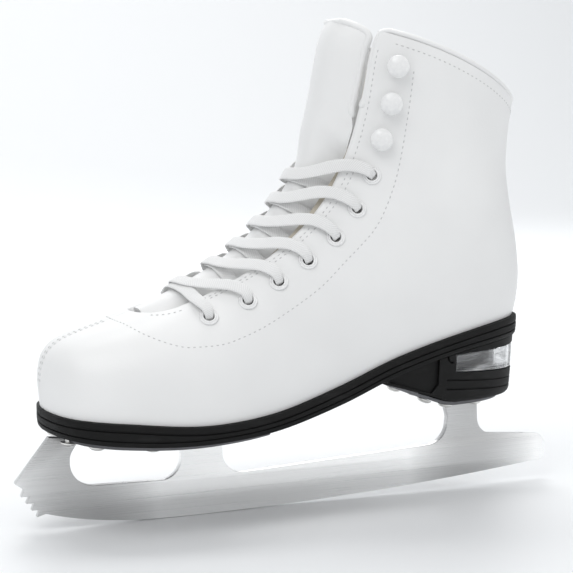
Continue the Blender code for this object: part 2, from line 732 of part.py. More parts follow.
def build_eyelets():
    holes = {}
    for side in (NEAR, FAR):
        places = [row_matrix(t, side) for t in row_places(side)]
        for row, matrix in enumerate(places[:EYELET_ROWS]):
            turned(f"eyelet_{side_name(side)}_{row + 1}", EYELET_PROFILE, "white_enamel", matrix, steps=10)
        holes[side] = cylinders(f"eyelet_holes_{side_name(side)}", places[:EYELET_ROWS], 3.35, 16)
        for row, matrix in enumerate(places[EYELET_ROWS:]):
            build_hook(f"hook_{side_name(side)}_{row + 1}", matrix)
    return holes


def build_hook(name, matrix):
    """A lace hook: a riveted base, a neck on the throat's side and a domed cap."""
    base = turned(name, [(0, 1.3), (4.2, 1.1), (4.2, 0.45), (0, 0.45)], "white_enamel", matrix, steps=10)
    cap_profile = [(0, 6.2), (3.6, 5.6), (HOOK_CAP_RADIUS, 4.4), (HOOK_CAP_RADIUS - 0.2, 4.0), (0, 4.0)]
    cap = as_cutter(turned(f"{name}_cap", cap_profile, None, matrix, steps=10))
    bm = bmesh.new()
    bmesh.ops.create_cube(bm, size=1)
    bmesh.ops.scale(bm, vec=(1.5, 5.0, 3.8), verts=bm.verts)
    bmesh.ops.translate(bm, vec=(-3.0, 0, 2.7), verts=bm.verts)
    neck = as_cutter(new_object(f"{name}_neck", bm, None))
    neck.matrix_basis = matrix
    boolean(base, neck, "UNION")
    boolean(base, cap, "UNION")


def instep_foot(t_row, side):
    """Place on the instep line straight across the throat from an eyelet."""
    eyelet = skin_base(t_row, place_at_width(t_row, row_width(t_row), side), side)
    t = np.linspace(0.15, 0.9, 1500)
    front = rib(t)
    return float(t[np.argmin(np.hypot(front[0] - eyelet[0], front[1] - eyelet[2]))])


# How the lace goes down through an eyelet, from its outer end: along the facing away from the throat, height over
# the leather, width, thickness, and how its flat side turns from the surface (1, 0) to the throat (0, 1).
EYELET_PASS = [(-2.6, 2.5, 4.2, 1.2, (1, 0)), (-0.5, 2.1, 3.2, 1.4, (1, 0.6)), (0.0, -1.0, 2.8, 1.5, (0, 1)),
               (0.0, -5.2, 2.8, 1.5, (0, 1)), (-0.9, -6.7, 3.0, 1.5, (-0.7, 1))]
# A strand from inside one eyelet to the outside of the next: how far across the throat (1 at an eyelet), and its
# depth for the strand that lies under the other one and for the one that lies over it.
STRAND = [(-0.82, 6.2, 6.2), (-0.64, 5.95, 5.95), (-0.48, 4.6, 2.8), (-0.38, 2.6, -0.8), (-0.3, 0.6, -2.9),
          (-0.15, -0.9, -2.9), (0.0, -1.3, -2.9), (0.3, -1.3, -2.6), (0.48, -1.3, -1.7), (0.66, -1.3, -1.3),
          (0.8, -1.9, -1.9)]
LACE_CLEAR = LACE_THICK / 2 + GAP + 0.5


def eyelet_pass(row_t, side):
    """The lace's way in through an eyelet, as (point, normal, width, thickness)."""
    matrix = row_matrix(row_t, side)
    origin = np.array(matrix.translation) / MM
    away, _, normal = (np.array(matrix.col[k][:3]) for k in range(3))
    return [(origin + away * along + normal * height, normal * turn[0] + away * turn[1], width, thick)
            for along, height, width, thick, turn in EYELET_PASS]


def lace_point(t, row_t, u, depth, side):
    """A point of a strand, which never dips into the tongue."""
    y = abs(u) * (row_width(row_t))
    s = float(place_at_width(t, y, side))
    depth = min(depth, tongue_depth(t, y) - LACE_CLEAR)
    width = LACE_WIDTH if abs(u) < 0.7 else 0.9 * LACE_WIDTH
    return skin(t, s, side, depth), skin_normal(t, s, side), width, LACE_THICK


def lace_run(first_side, rows, feet):
    """One end of the lace, from the first eyelet's outside up to the inside of the last eyelet."""
    run = eyelet_pass(rows[first_side][0], first_side)
    for row in range(EYELET_ROWS - 1):
        start_side = first_side * (-1) ** row
        middle_t = (feet[row] + feet[row + 1]) / 2
        for u, under, over in STRAND:
            side = start_side if u < 0 else -start_side
            row_t = rows[side][row if u < 0 else row + 1]
            t = middle_t + (row_t - middle_t) * abs(u)
            run.append(lace_point(t, row_t, u, over if start_side == FAR else under, side))
        run += eyelet_pass(rows[-start_side][row + 1], -start_side)
    return run


def lace_bar(rows, foot_t):
    """The straight stretch across the first row, from the outer side to the inner side."""
    bar = []
    for u in (0.8, 0.66, 0.4, 0.2, 0.0, -0.2, -0.4, -0.66, -0.8):
        side = NEAR if u > 0 else FAR
        row_t = rows[side][0]
        t = foot_t + (row_t - foot_t) * u * u
        bar.append(lace_point(t, row_t, u, -1.9 if abs(u) > 0.7 else -1.3, side))
    return bar


# The lace's ends inside the boot: places (t, s) down the lining's side, then (x, y) along the footbed.
TAIL_WALL = [(0.705, 0.8), (0.685, 0.7), (0.665, 0.58), (0.65, 0.46), (0.64, 0.37)]
TAIL_FLOOR = [(38, 20.5), (20, 20), (0, 21), (-20, 23), (-40, 24.5)]


def lace_tail(side):
    """Down the inside of the boot from the last eyelet, and along the footbed."""
    tail = []
    for t, s in TAIL_WALL:
        point = skin(t, s, side, LINING[1] + LACE_CLEAR)
        tail.append((point, skin_normal(t, s, side), LACE_WIDTH, LACE_THICK))
    for x, y in TAIL_FLOOR:
        rest = sole_top(x) + FOOTBED[1] + GAP + LACE_THICK
        tail.append((np.array([x, side * y, rest]), (0.1, 0, 1), LACE_WIDTH, LACE_THICK))
    return tail


def build_aglet(name, side):
    """The stiff end of the lace, which lies on the footbed."""
    radius, length = AGLET
    (last_x, last_y), start = TAIL_FLOOR[-1], TAIL_FLOOR[-1][0] - GAP
    ends = [(x, side * (last_y + (last_x - x) * 0.06), sole_top(x) + FOOTBED[1] + 2 * GAP + radius)
            for x in (start, start - length)]
    tube(name, ends, radius, "clear_plastic")


def build_lacing():
    """One flat lace: a bar across the first row, then both ends crossing up to the last row, tails inside."""
    rows = {side: row_places(side)[:EYELET_ROWS] for side in (NEAR, FAR)}
    feet = [instep_foot(t, NEAR) for t in rows[NEAR]]
    swap = (-1) ** (EYELET_ROWS - 1)
    near_end = lace_run(NEAR, rows, feet) + lace_tail(NEAR * swap)
    far_end = lace_run(FAR, rows, feet) + lace_tail(FAR * swap)
    route = near_end[::-1] + lace_bar(rows, feet[0]) + far_end
    points, normals, widths, thicks = (list(column) for column in zip(*route))
    ribbon("lace", points, normals, widths, thicks, "lace_cotton")
    build_aglet("aglet_outer", NEAR)
    build_aglet("aglet_inner", FAR)


# ---------------------------------------------------------------- sole, heel and blade
def build_sole():
    outsole = prism("outsole", [
        (WELT - 0.5, sole_top),
        (WELT, lambda x: sole_top(x) - 0.6),
        (WELT + 0.3, lambda x: sole_top(x) - 4.5),
        (WELT - 0.4, lambda x: sole_under(x) + 0.9),
        (WELT - 1.3, sole_under),
    ], "black_rubber")
    prism("insole_board", [
        (-3.5, lambda x: sole_top(x) + BOARD[1]),
        (-3.5, lambda x: sole_top(x) + BOARD[0]),
    ], "insole_board")
    prism("footbed", [
        (-7.6, lambda x: sole_top(x) + FOOTBED[1]),
        (-7.6, lambda x: sole_top(x) + FOOTBED[0]),
    ], "lining_fabric")
    return outsole


def insert_top(x):
    return 74.7 + (x - INSERT_START) * 0.04


def insert_under(x):
    return 66.3 - (x - INSERT_START) * 0.057


def build_heel():
    """The heel block, its clear insert let in round the back, and the plate on its underside."""
    block = prism("heel_block", [
        (WELT - 1.4, lambda x: sole_under(x) - GAP),
        (WELT - 2.2, lambda x: (sole_under(x) * 2 + heel_under(x)) / 3),
        (WELT - 3.4, lambda x: heel_under(x) + 1.4),
        (WELT - 4.8, heel_under),
    ], "black_rubber", start_x=31)
    recess = as_cutter(prism("insert_recess", [
        (WELT + 3, lambda x: insert_top(x) + GAP),
        (WELT + 3, lambda x: insert_under(x) - GAP),
    ], None, start_x=INSERT_START))
    core = as_cutter(prism("insert_core", [
        (WELT - 2.6 - INSERT_DEPTH, lambda x: insert_top(x) + 8),
        (WELT - 2.6 - INSERT_DEPTH, lambda x: insert_under(x) - 6),
    ], None, start_x=60))
    boolean(recess, core)
    boolean(block, recess)
    insert = prism("heel_insert", [
        (WELT - 1.6, insert_top),
        (WELT - 2.9, insert_under),
    ], "clear_plastic", start_x=INSERT_START + GAP * 2)
    hollow = as_cutter(prism("insert_hollow", [
        (WELT - 2.6 - INSERT_DEPTH + GAP, lambda x: insert_top(x) + 9),
        (WELT - 2.6 - INSERT_DEPTH + GAP, lambda x: insert_under(x) - 7),
    ], None, start_x=60))
    boolean(insert, hollow)
    return block


def front_plate_top(x):
    return sole_under(x) - GAP


def front_plate_under(x):
    return sole_under(x) - GAP - PLATE_THICK


def heel_plate_top(x):
    return heel_under(x) - GAP


def heel_plate_under(x):
    return heel_under(x) - GAP - PLATE_THICK


def build_plates():
    front = prism("front_mount_plate", [
        (WELT - 6.5, front_plate_top),
        (WELT - 6.5, front_plate_under),
    ], "dark_steel", end_x=-31)
    heel = prism("heel_mount_plate", [
        (WELT - 8.5, heel_plate_top),
        (WELT - 8.5, heel_plate_under),
    ], "dark_steel", start_x=52, end_x=104)
    return front, heel


FRONT_SCREWS = [(-122, 12), (-111, 21), (-86, 26.5), (-48, 26)]
HEEL_SCREWS = [(60, 17), (72, 17), (90, 14)]
SCREW_PROFILE = [(0, 11.0), (1.5, 10.0), (1.5, 0.0), (3.6, 0.0), (3.3, -1.0), (0, -1.9)]


def screw_matrices(places, under):
    """Matrices of screws whose heads hang GAP below a plate; both sides of the blade."""
    found = []
    for x, y in places:
        for side in (NEAR, FAR):
            slope = (under(x + 1) - under(x - 1)) / 2
            found.append(facing_matrix((x, side * y, under(x) - GAP), (-slope, 0, 1), (1, 0, 0)))
    return found


def build_screws(outsole, heel_block, front_plate, heel_plate):
    groups = (("front_screw", FRONT_SCREWS, front_plate_under, (outsole, front_plate)),
              ("heel_screw", HEEL_SCREWS, heel_plate_under, (heel_block, heel_plate)))
    for prefix, places, under, drilled in groups:
        matrices = screw_matrices(places, under)
        for number, matrix in enumerate(matrices, 1):
            turned(f"{prefix}_{number}", SCREW_PROFILE, "nickel", matrix, steps=8)
        depth = 2 * (SCREW_PROFILE[0][1] + 0.6)
        for piece in drilled:
            boolean(piece, cylinders(f"{prefix}_holes_{piece.name}", matrices, 1.9, depth, sides=8))


def rounded(corners, arc_step=14):
    """A polyline through (x, z, radius) corners, each rounded by an arc."""
    line = []
    count = len(corners)
    for i, (x, z, radius) in enumerate(corners):
        here = Vector((x, z))
        if not radius:
            line.append(here)
            continue
        back = (Vector(corners[i - 1][:2]) - here).normalized()
        ahead = (Vector(corners[(i + 1) % count][:2]) - here).normalized()
        half = back.angle(ahead) / 2
        reach = radius / math.tan(half)
        centre = here + (back + ahead).normalized() * (radius / math.sin(half))
        start = here + back * reach - centre
        turn = math.pi - 2 * half
        sign = 1 if start.x * (here + ahead * reach - centre).y > start.y * (here + ahead * reach - centre).x else -1
        steps = max(2, round(math.degrees(turn) / arc_step))
        for k in range(steps + 1):
            a = sign * turn * k / steps
            line.append(centre + Vector((start.x * math.cos(a) - start.y * math.sin(a),
                                         start.x * math.sin(a) + start.y * math.cos(a))))
    return line


ROCKER_LOW_X = -60.0
ROCKER_RADIUS = 1830.0
SPIN_START_X = -130.5
SPIN_RISE = 8.0
PICK_TIP = (-145.0, 23.4)
TOOTH_FIRST = (-142.0, 17.0)
TOOTH_STEP = (2.45, -3.4)
TOOTH_NOTCH = (1.4, 3.4)
TEETH = 4


def rocker(x):
    """Height of the blade's running edge: a long rocker, and a quicker rise under the ball of the foot."""
    reach = abs(x - ROCKER_LOW_X)
    if x > ROCKER_LOW_X:
        return reach**2 / (2 * ROCKER_RADIUS)
    return SPIN_RISE * (reach / (ROCKER_LOW_X - SPIN_START_X)) ** 2.6


def blade_top(x):
    """Where a stanchion stops, just under the front plate."""
    return float(front_plate_under(x)) - 1.4 * GAP


def blade_outline():
    rear_top = HEEL_BOTTOM - PLATE_THICK - 2 * GAP
    teeth = [(*PICK_TIP, 0.6)]
    for k in range(TEETH):
        tip = (TOOTH_FIRST[0] + k * TOOTH_STEP[0], TOOTH_FIRST[1] + k * TOOTH_STEP[1])
        teeth += [(tip[0] + TOOTH_NOTCH[0], tip[1] + TOOTH_NOTCH[1], 0), (*tip, 0)]
    edge = [(x, rocker(x), 0) for x in np.linspace(SPIN_START_X, ROCKER_LOW_X, 9)]
    edge += [(x, rocker(x), 0) for x in np.linspace(ROCKER_LOW_X, 139.0, 20)[1:]]
    tail = [(140.4, rocker(139) + 2, 1.2), (140.2, 24.4, 7), (99.6, 27.6, 9), (98.8, rear_top, 0)]
    rear_window = [(79.0, rear_top, 0), (81.8, 38, 8), (80.6, 24.2, 11), (-42.4, 18.4, 11)]
    middle_stanchion = [(x, blade_top(x), 0) for x in (-42.4, -53.0, -63.6)]
    front_window = [(-63.6, 18.6, 10), (-119.0, 19.6, 12), (-118.6, 35, 8)]
    front_stanchion = [(x, blade_top(x), 0) for x in (-113.6, -121.0, -128.6)]
    return rounded(teeth + edge + tail + rear_window + middle_stanchion + front_window + front_stanchion)


def build_blade():
    data = bpy.data.curves.new("blade_runner", "CURVE")
    data.dimensions = "2D"
    data.fill_mode = "BOTH"
    data.extrude = BLADE_THICK / 2 * MM
    spline = data.splines.new("POLY")
    outline = blade_outline()
    spline.points.add(len(outline) - 1)
    for slot, point in zip(spline.points, outline):
        slot.co = (point.x * MM, point.y * MM, 0, 1)
    spline.use_cyclic_u = True
    data.materials.append(material("brushed_steel"))
    obj = add_part(bpy.data.objects.new("blade_runner", data))
    obj.rotation_euler = (math.radians(90), 0, 0)


# ---------------------------------------------------------------- assembly
def main():
    uppers = {side: build_upper(side) for side in (NEAR, FAR)}
    stays = {side: build_eyelet_stay(side) for side in (NEAR, FAR)}
    build_stiffener("toe_puff", 0.0, 0.13, slice(1, None))
    build_stiffener("heel_counter", 0.56, 0.9, slice(1, 6))
    lining = build_lining()
    build_backstay()
    build_collar_binding()
    build_tongue()
    holes = build_eyelets()
    for side in (NEAR, FAR):
        for piece in (uppers[side], stays[side], lining):
            boolean(piece, holes[side])
    build_lacing()
    outsole = build_sole()
    heel_block = build_heel()
    front_plate, heel_plate = build_plates()
    build_screws(outsole, heel_block, front_plate, heel_plate)
    build_blade()


clear_scene()
parts = new_collection("figure_skate")
cutters = new_collection("cutters")
carrier = bpy.data.objects.new("skate_frame", None)
carrier.location.x = -BLADE_MIDDLE * MM
parts.objects.link(carrier)
main()
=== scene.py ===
"""Looks of a women's figure skate: fine leather, lacing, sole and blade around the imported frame.

Shapes are worked out in millimetres in the same tables as the frame's, with the toe to -X, the outer side of
the foot to -Y and +Z up. `placed` brings them to the frame, in metres.
"""

import json
import math

import bmesh
import bpy
import numpy as np
from mathutils import Matrix, Vector

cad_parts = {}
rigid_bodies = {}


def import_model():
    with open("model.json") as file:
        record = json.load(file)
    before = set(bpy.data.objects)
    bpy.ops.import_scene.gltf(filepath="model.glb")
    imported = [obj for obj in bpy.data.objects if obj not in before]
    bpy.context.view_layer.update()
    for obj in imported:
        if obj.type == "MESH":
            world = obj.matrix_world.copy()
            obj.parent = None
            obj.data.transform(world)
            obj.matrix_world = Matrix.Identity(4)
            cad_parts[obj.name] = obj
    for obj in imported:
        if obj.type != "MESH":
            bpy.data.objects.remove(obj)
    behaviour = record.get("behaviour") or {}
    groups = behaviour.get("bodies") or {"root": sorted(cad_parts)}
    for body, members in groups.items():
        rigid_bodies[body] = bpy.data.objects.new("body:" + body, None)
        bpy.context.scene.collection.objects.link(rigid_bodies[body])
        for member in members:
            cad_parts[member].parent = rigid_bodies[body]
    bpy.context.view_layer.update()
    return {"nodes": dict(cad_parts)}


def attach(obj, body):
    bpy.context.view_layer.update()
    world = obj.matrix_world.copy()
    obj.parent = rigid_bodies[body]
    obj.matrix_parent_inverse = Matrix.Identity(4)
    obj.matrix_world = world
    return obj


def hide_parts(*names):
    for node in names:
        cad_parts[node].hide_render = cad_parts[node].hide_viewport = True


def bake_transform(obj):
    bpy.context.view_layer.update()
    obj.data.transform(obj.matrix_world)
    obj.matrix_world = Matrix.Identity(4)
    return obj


MM = 0.001
BLADE_MIDDLE = -2.3   # where the middle of the blade's length lies in the tables below
NEAR, FAR = -1, 1     # outer side of the foot, inner side of the foot
SIDES = {NEAR: "outer", FAR: "inner"}

# ---------------------------------------------------------------- the frame's dimensions (mm)
GAP = 0.35
LEATHER_THICK = 1.6
LINING = (3.5, 4.9)
WELT = 2.2            # how far the sole's edge stands out past the leather
TOE_WELT = (1.2, 24)  # how much less that is at the toe's tip, and over what length
SOCK = 2.95           # underside of the lining's floor over the sole's top
INSOLE = (0.35, 2.6)  # insole board, heights over the sole's top
FOOTBED = (4.9, 8.2)  # loose insole, heights over the sole's top
PLATE_THICK = 2.0
BLADE_THICK = 3.8
HEEL_BOTTOM = 50.6
INSERT_START = 70     # where the heel's clear insert begins
INSERT_INNER = -9.4   # its inner wall's offset from the boot's lower edge
EYELET_ROWS = 7
HOOK_ROWS = 3
FIRST_ROW = 0.295     # place of the first row of eyelets
ROW_PITCH = 17.7
FIRST_PITCH = 1.15    # how many pitches the second row stands from the first
AGLET = (1.3, 20.0)   # radius and length

# The boot's surface is a loft of ribs. Each rib runs from a point under the sole or up the back (BACK) to a
# point on the toe, instep or shin line (FRONT). Columns: FRONT x z, BACK x z, half width, place of the widest
# point along the rib, roundness of its lower and upper part, and how far it bows towards the collar.
RIBS = np.array([
    (-131.6, 67.0, -130.0, 58.0, 0.0, 0.45, 3.0, 2.6, 0.0),
    (-131.3, 74.0, -127.6, 44.0, 8.2, 0.45, 3.0, 2.6, 0.0),
    (-130.3, 78.8, -126.2, 38.0, 13.8, 0.45, 3.0, 2.6, 0.0),
    (-128.0, 84.0, -124.4, 34.0, 20.5, 0.45, 3.0, 2.6, 0.0),
    (-123.8, 88.0, -121.3, 32.0, 27.0, 0.45, 2.9, 2.6, 0.0),
    (-117.0, 91.4, -115.4, 30.5, 32.5, 0.45, 2.9, 2.5, 0.0),
    (-108.0, 94.6, -108.0, 29.5, 36.6, 0.45, 2.9, 2.4, 0.0),
    (-97.0, 98.2, -96.0, 28.5, 39.6, 0.45, 2.8, 2.3, 0.0),
    (-84.0, 102.8, -80.0, 28.0, 41.8, 0.44, 2.8, 2.2, 0.0),
    (-70.0, 108.6, -62.0, 28.0, 42.6, 0.43, 2.7, 2.1, 0.0),
    (-56.0, 115.4, -43.0, 29.0, 42.2, 0.42, 2.6, 2.0, 0.0),
    (-43.0, 122.8, -24.0, 32.0, 41.0, 0.42, 2.5, 2.0, 0.0),
    (-31.0, 131.6, -4.0, 38.0, 39.6, 0.42, 2.4, 2.0, 0.0),
    (-20.5, 141.8, 17.0, 46.0, 38.4, 0.42, 2.4, 2.0, 0.0),
    (-11.5, 152.6, 40.0, 54.0, 37.4, 0.43, 2.3, 2.0, 0.0),
    (-4.8, 163.0, 64.0, 60.0, 36.8, 0.44, 2.3, 2.0, 0.0),
    (-0.6, 172.0, 88.0, 65.0, 36.2, 0.45, 2.2, 2.0, 0.0),
    (2.2, 180.0, 106.0, 74.0, 35.8, 0.46, 2.1, 2.0, 0.0),
    (4.4, 187.8, 116.0, 89.0, 35.4, 0.47, 2.0, 2.0, 0.0),
    (6.4, 195.6, 119.3, 106.0, 35.2, 0.48, 2.0, 2.0, 0.0),
    (8.2, 203.6, 117.8, 124.0, 35.4, 0.49, 2.0, 2.0, 0.0),
    (9.8, 211.6, 113.8, 143.0, 36.0, 0.50, 2.0, 2.0, 0.5),
    (11.4, 219.4, 110.4, 162.0, 36.8, 0.50, 2.0, 2.0, 1.5),
    (13.0, 226.4, 109.8, 177.0, 37.6, 0.50, 2.1, 2.0, 2.4),
    (15.0, 232.0, 111.0, 189.5, 38.4, 0.50, 2.1, 2.0, 3.6),
    (17.5, 236.4, 112.8, 201.0, 39.0, 0.50, 2.1, 2.0, 4.8),
])
TOE_LEAN = 3.0        # how far the toe's tip is set over towards the inner side
TOE_STEP = 8.0        # distance that the first step between ribs counts for, at the toe's tip
ARCH_TUCK = 0.07      # how much narrower the inner side is at the arch
ARCH_AT = (0.47, 0.12)   # place of the arch, and how far it spreads

# Height of the sole's top, of its underside and of the heel block's underside, along the foot.
SOLE_TOP = [(-134, 57.2), (-105, 55.2), (-60, 52.0), (-29, 55.2), (4.5, 64.6), (38, 76.5), (72, 85.4),
            (95, 89.4), (121, 91.0)]
SOLE_UNDER = [(-134, 47.6), (-105, 44.6), (-60, 43.4), (-29, 46.6), (4.5, 55.4), (38, 67.4), (72, 76.2),
              (95, 79.6), (121, 81.2)]
HEEL_UNDER = [(28, 63.7), (40, 60.2), (50, 57.1), (57, 55.0), (62, 53.2), (68, 51.3), (73, HEEL_BOTTOM),
              (86, HEEL_BOTTOM), (104, HEEL_BOTTOM), (121, HEEL_BOTTOM + 1.5)]

# The throat is the opening that the laces close: its half width, and where it starts and widens.
THROAT_START = 0.192
THROAT_FULL = 0.265
THROAT_HALF = [(0.0, 19.0), (0.33, 19.3), (0.42, 20.6), (0.50, 21.9), (0.60, 22.1), (0.70, 21.5),
               (0.80, 22.4), (0.87, 24.0), (0.95, 25.2), (1.05, 26.8)]
COLLAR_END = 0.981    # where leather and lining stop under the collar binding
# How far the eyelets and hooks stand from the throat's edge, measured across the foot.
ROW_INSET = [(0.25, 9.9), (0.36, 9.6), (0.43, 8.3), (0.50, 7.4), (0.57, 7.3), (0.65, 6.6), (0.725, 6.0),
             (0.80, 5.6), (0.87, 6.2), (0.95, 6.8)]
ROLL_START = 0.828    # place where the edging down the throat starts
TONGUE_BEND = (0.69, 0.775)   # places on the instep line between which the tongue bends when it folds


# ---------------------------------------------------------------- curves and the boot's surface
def smooth_slopes(x, y):
    """Slopes of a smooth curve through the points, for each column of y."""
    step = np.diff(x)[:, None]
    chord = np.diff(y, axis=0) / step
    slopes = np.empty_like(y)
    slopes[1:-1] = (chord[:-1] * step[1:] + chord[1:] * step[:-1]) / (step[:-1] + step[1:])
    slopes[0], slopes[-1] = chord[0], chord[-1]
    return slopes


def follow(x, y, slopes, at):
    """The smooth curve's columns at the places given, going on straight past either end."""
    at = np.asarray(at, float)
    inside = np.clip(at, x[0], x[-1])
    i = np.clip(np.searchsorted(x, inside, side="right") - 1, 0, len(x) - 2)
    step = (x[i + 1] - x[i])[..., None]
    u = (inside - x[i])[..., None] / step
    value = ((2 * u**3 - 3 * u**2 + 1) * y[i] + (u**3 - 2 * u**2 + u) * step * slopes[i]
             + (3 * u**2 - 2 * u**3) * y[i + 1] + (u**3 - u**2) * step * slopes[i + 1])
    end_slope = np.where((at < x[0])[..., None], slopes[0], slopes[-1])
    return value + end_slope * (at - inside)[..., None]


def curve_through(points):
    """A function of one number that passes smoothly through (x, y) points."""
    table = np.array(points, float)
    x, y = table[:, 0], table[:, 1:]
    slopes = smooth_slopes(x, y)
    return lambda at: follow(x, y, slopes, at)[..., 0]


sole_top = curve_through(SOLE_TOP)
sole_under = curve_through(SOLE_UNDER)
heel_curve = curve_through(HEEL_UNDER)
throat_half = curve_through(THROAT_HALF)
row_inset = curve_through(ROW_INSET)


def heel_under(x):
    return np.maximum(heel_curve(x), HEEL_BOTTOM)


def rib_places():
    """Each rib's place t, from 0 at the toe's tip to 1 at the collar, spaced by the distance between ribs."""
    front = np.hypot(*np.diff(RIBS[:, 0:2], axis=0).T)
    back = np.hypot(*np.diff(RIBS[:, 2:4], axis=0).T)
    step = (front + back) / 2
    step[0] = TOE_STEP
    places = np.concatenate([[0.0], np.cumsum(step)])
    return places / places[-1]


RIB_AT = rib_places()
RIB_SLOPES = smooth_slopes(RIB_AT, RIBS)


def rib(t):
    return np.moveaxis(follow(RIB_AT, RIBS, RIB_SLOPES, t), -1, 0)


def half_width(t, side):
    """The rib's greatest half width, a little less on the inner side at the arch."""
    middle, spread = ARCH_AT
    tuck = ARCH_TUCK * np.exp(-(((np.asarray(t) - middle) / spread) ** 2)) * (side == FAR)
    return np.maximum(rib(t)[4], 0) * (1 - tuck)


def centre_line(t):
    return TOE_LEAN * np.clip(1 - np.asarray(t) / 0.4, 0, 1) ** 2


def skin_base(t, s, side):
    front_x, front_z, back_x, back_z, _, widest, low_n, high_n, bow = rib(t)
    length = np.hypot(front_x - back_x, front_z - back_z) + 1e-9
    lift = 4 * s * (1 - s) * bow / length
    x = back_x + (front_x - back_x) * s + (front_z - back_z) * lift
    z = back_z + (front_z - back_z) * s - (front_x - back_x) * lift
    low = np.clip((widest - s) / widest, 0, 1)
    high = np.clip((s - widest) / (1 - widest), 0, 1)
    share = np.where(s < widest, (1 - low**low_n) ** (1 / low_n), (1 - high**high_n) ** (1 / high_n))
    return np.stack([x, centre_line(t) + side * half_width(t, side) * share, z], -1)


def angle_of(s):
    return np.arccos(np.clip(1 - 2 * s, -1, 1))


def skin_normal(t, s, side):
    """Outward normals. Steps are angles round the rib, which stay even at its ends: s = sin^2(angle / 2)."""
    t_in = np.clip(t, 0.004, 1.02)
    angle = angle_of(s)
    angle_in = np.clip(angle, 0.06, math.pi - 0.06)

    def at(t_step, angle_step):
        return skin_base(t_in + t_step, np.sin((angle_in + angle_step) / 2) ** 2, side)

    along = at(0.002, 0) - at(-0.002, 0)
    across = at(0, 0.02) - at(0, -0.02)
    normal = np.cross(along, across)
    normal /= np.linalg.norm(normal, axis=-1, keepdims=True) + 1e-12
    front_x, front_z, back_x, back_z = rib(t_in)[:4]
    middle = np.stack([(front_x + back_x) / 2, centre_line(t_in), (front_z + back_z) / 2], -1)
    outward = np.sign(np.sum(normal * (at(0, 0) - middle), axis=-1, keepdims=True))
    normal *= np.where(outward == 0, 1, outward)
    at_seam = np.minimum(angle, math.pi - angle) / 0.06
    normal[..., 1] *= np.clip(np.minimum(at_seam, np.asarray(t) / 0.004), 0, 1)
    return normal / (np.linalg.norm(normal, axis=-1, keepdims=True) + 1e-12)


def skin(t, s, side, depth=0.0):
    """A point on the boot's surface, or the given depth under it."""
    t, s = np.broadcast_arrays(np.asarray(t, float), np.asarray(s, float))
    depth = np.broadcast_to(np.asarray(depth, float), t.shape)
    return skin_base(t, s, side) - skin_normal(t, s, side) * depth[..., None]


def place_at_width(t, width, side, upper=True):
    """The place s along a rib where the surface is this far from the centre line."""
    _, _, _, _, _, widest, low_n, high_n, _ = rib(t)
    share = np.clip(width / np.maximum(half_width(t, side), 1e-6), 0, 1)
    if upper:
        return widest + (1 - widest) * (1 - share**high_n) ** (1 / high_n)
    return widest * (1 - (1 - share**low_n) ** (1 / low_n))


def place_at_sole(t, raise_by=0.0):
    """The place s along a rib where it passes the sole's top; 0 where the whole rib is above it."""
    low = np.zeros_like(t)
    high = np.full_like(t, 0.6)

    def above(s):
        point = skin_base(t, s, NEAR)
        return point[..., 2] > sole_top(point[..., 0]) + raise_by

    clear = above(low)
    for _ in range(30):
        middle = (low + high) / 2
        over = above(middle)
        high = np.where(over, middle, high)
        low = np.where(over, low, middle)
    return np.where(clear, 0.0, high)


def heel_place():
    """The first rib whose lower end is above the sole's top, at the back of the heel."""
    t = np.linspace(0.4, 0.9, 4001)
    return float(t[np.argmax(place_at_sole(t) == 0)])


HEEL_AT = heel_place()


def throat_width(t):
    """Half width of the throat: a rounded start, then its full width."""
    t = np.asarray(t, float)
    rise = np.clip((THROAT_FULL - t) / (THROAT_FULL - THROAT_START), 0, 1)
    return throat_half(t) * (1 - rise**2.2) ** (1 / 2.2)


def row_width(t):
    """Half width on which the eyelets and hooks stand."""
    return throat_width(t) + row_inset(t)


def rib_angles(low, high, count):
    """Rows of places s between the two edges, even in the angle round the rib."""
    start, end = angle_of(low)[:, None], angle_of(high)[:, None]
    s = np.sin((start + (end - start) * np.linspace(0, 1, count)[None, :]) / 2) ** 2
    return np.where(s > 1 - 1e-6, 1.0, np.where(s < 1e-6, 0.0, s))


def smooth_step(u):
    u = np.clip(u, 0, 1)
    return u * u * (3 - 2 * u)


def mix(a, b, share):
    return a + (b - a) * share


def unit(vectors):
    return vectors / (np.linalg.norm(vectors, axis=-1, keepdims=True) + 1e-12)


def lengths_along(points):
    steps = np.linalg.norm(np.diff(points[:, :3], axis=0), axis=1)
    return np.concatenate([[0], np.cumsum(steps)])


def smooth_route(points, step):
    """Points about a step apart on a smooth curve through the rows; columns past the third go with them."""
    points = np.array(points, float)
    along = lengths_along(points)
    count = max(4, int(along[-1] / step) + 1)
    return follow(along, points, smooth_slopes(along, points), np.linspace(0, along[-1], count))


# ---------------------------------------------------------------- looks
def new_look(name, colour, roughness, metallic=0.0):
    look = bpy.data.materials.new(name)
    look.use_nodes = True
    set_shader(look, Base_Color=(*colour, 1), Roughness=roughness, Metallic=metallic)
    return look


def node(look, kind, inputs=None, **settings):
    """Adds a node; an input that is a socket is linked, and any other is set."""
    made = look.node_tree.nodes.new(kind)
    for key, value in settings.items():
        setattr(made, key, value)
    for key, value in (inputs or {}).items():
        if isinstance(value, bpy.types.NodeSocket):
            look.node_tree.links.new(value, made.inputs[key])
        else:
            made.inputs[key].default_value = value
    return made


def to_shader(look, socket, name):
    look.node_tree.links.new(socket, look.node_tree.nodes["Principled BSDF"].inputs[name])


def set_shader(look, **values):
    """Numbers that are the same all over, by the socket's name with _ for each space."""
    shader = look.node_tree.nodes["Principled BSDF"]
    for name, value in values.items():
        shader.inputs[name.replace("_", " ")].default_value = value


def places(look, scale=(1, 1, 1), space="Object"):
    coordinates = node(look, "ShaderNodeTexCoord")
    inputs = {"Vector": coordinates.outputs[space], "Scale": scale}
    return node(look, "ShaderNodeMapping", inputs).outputs[0]


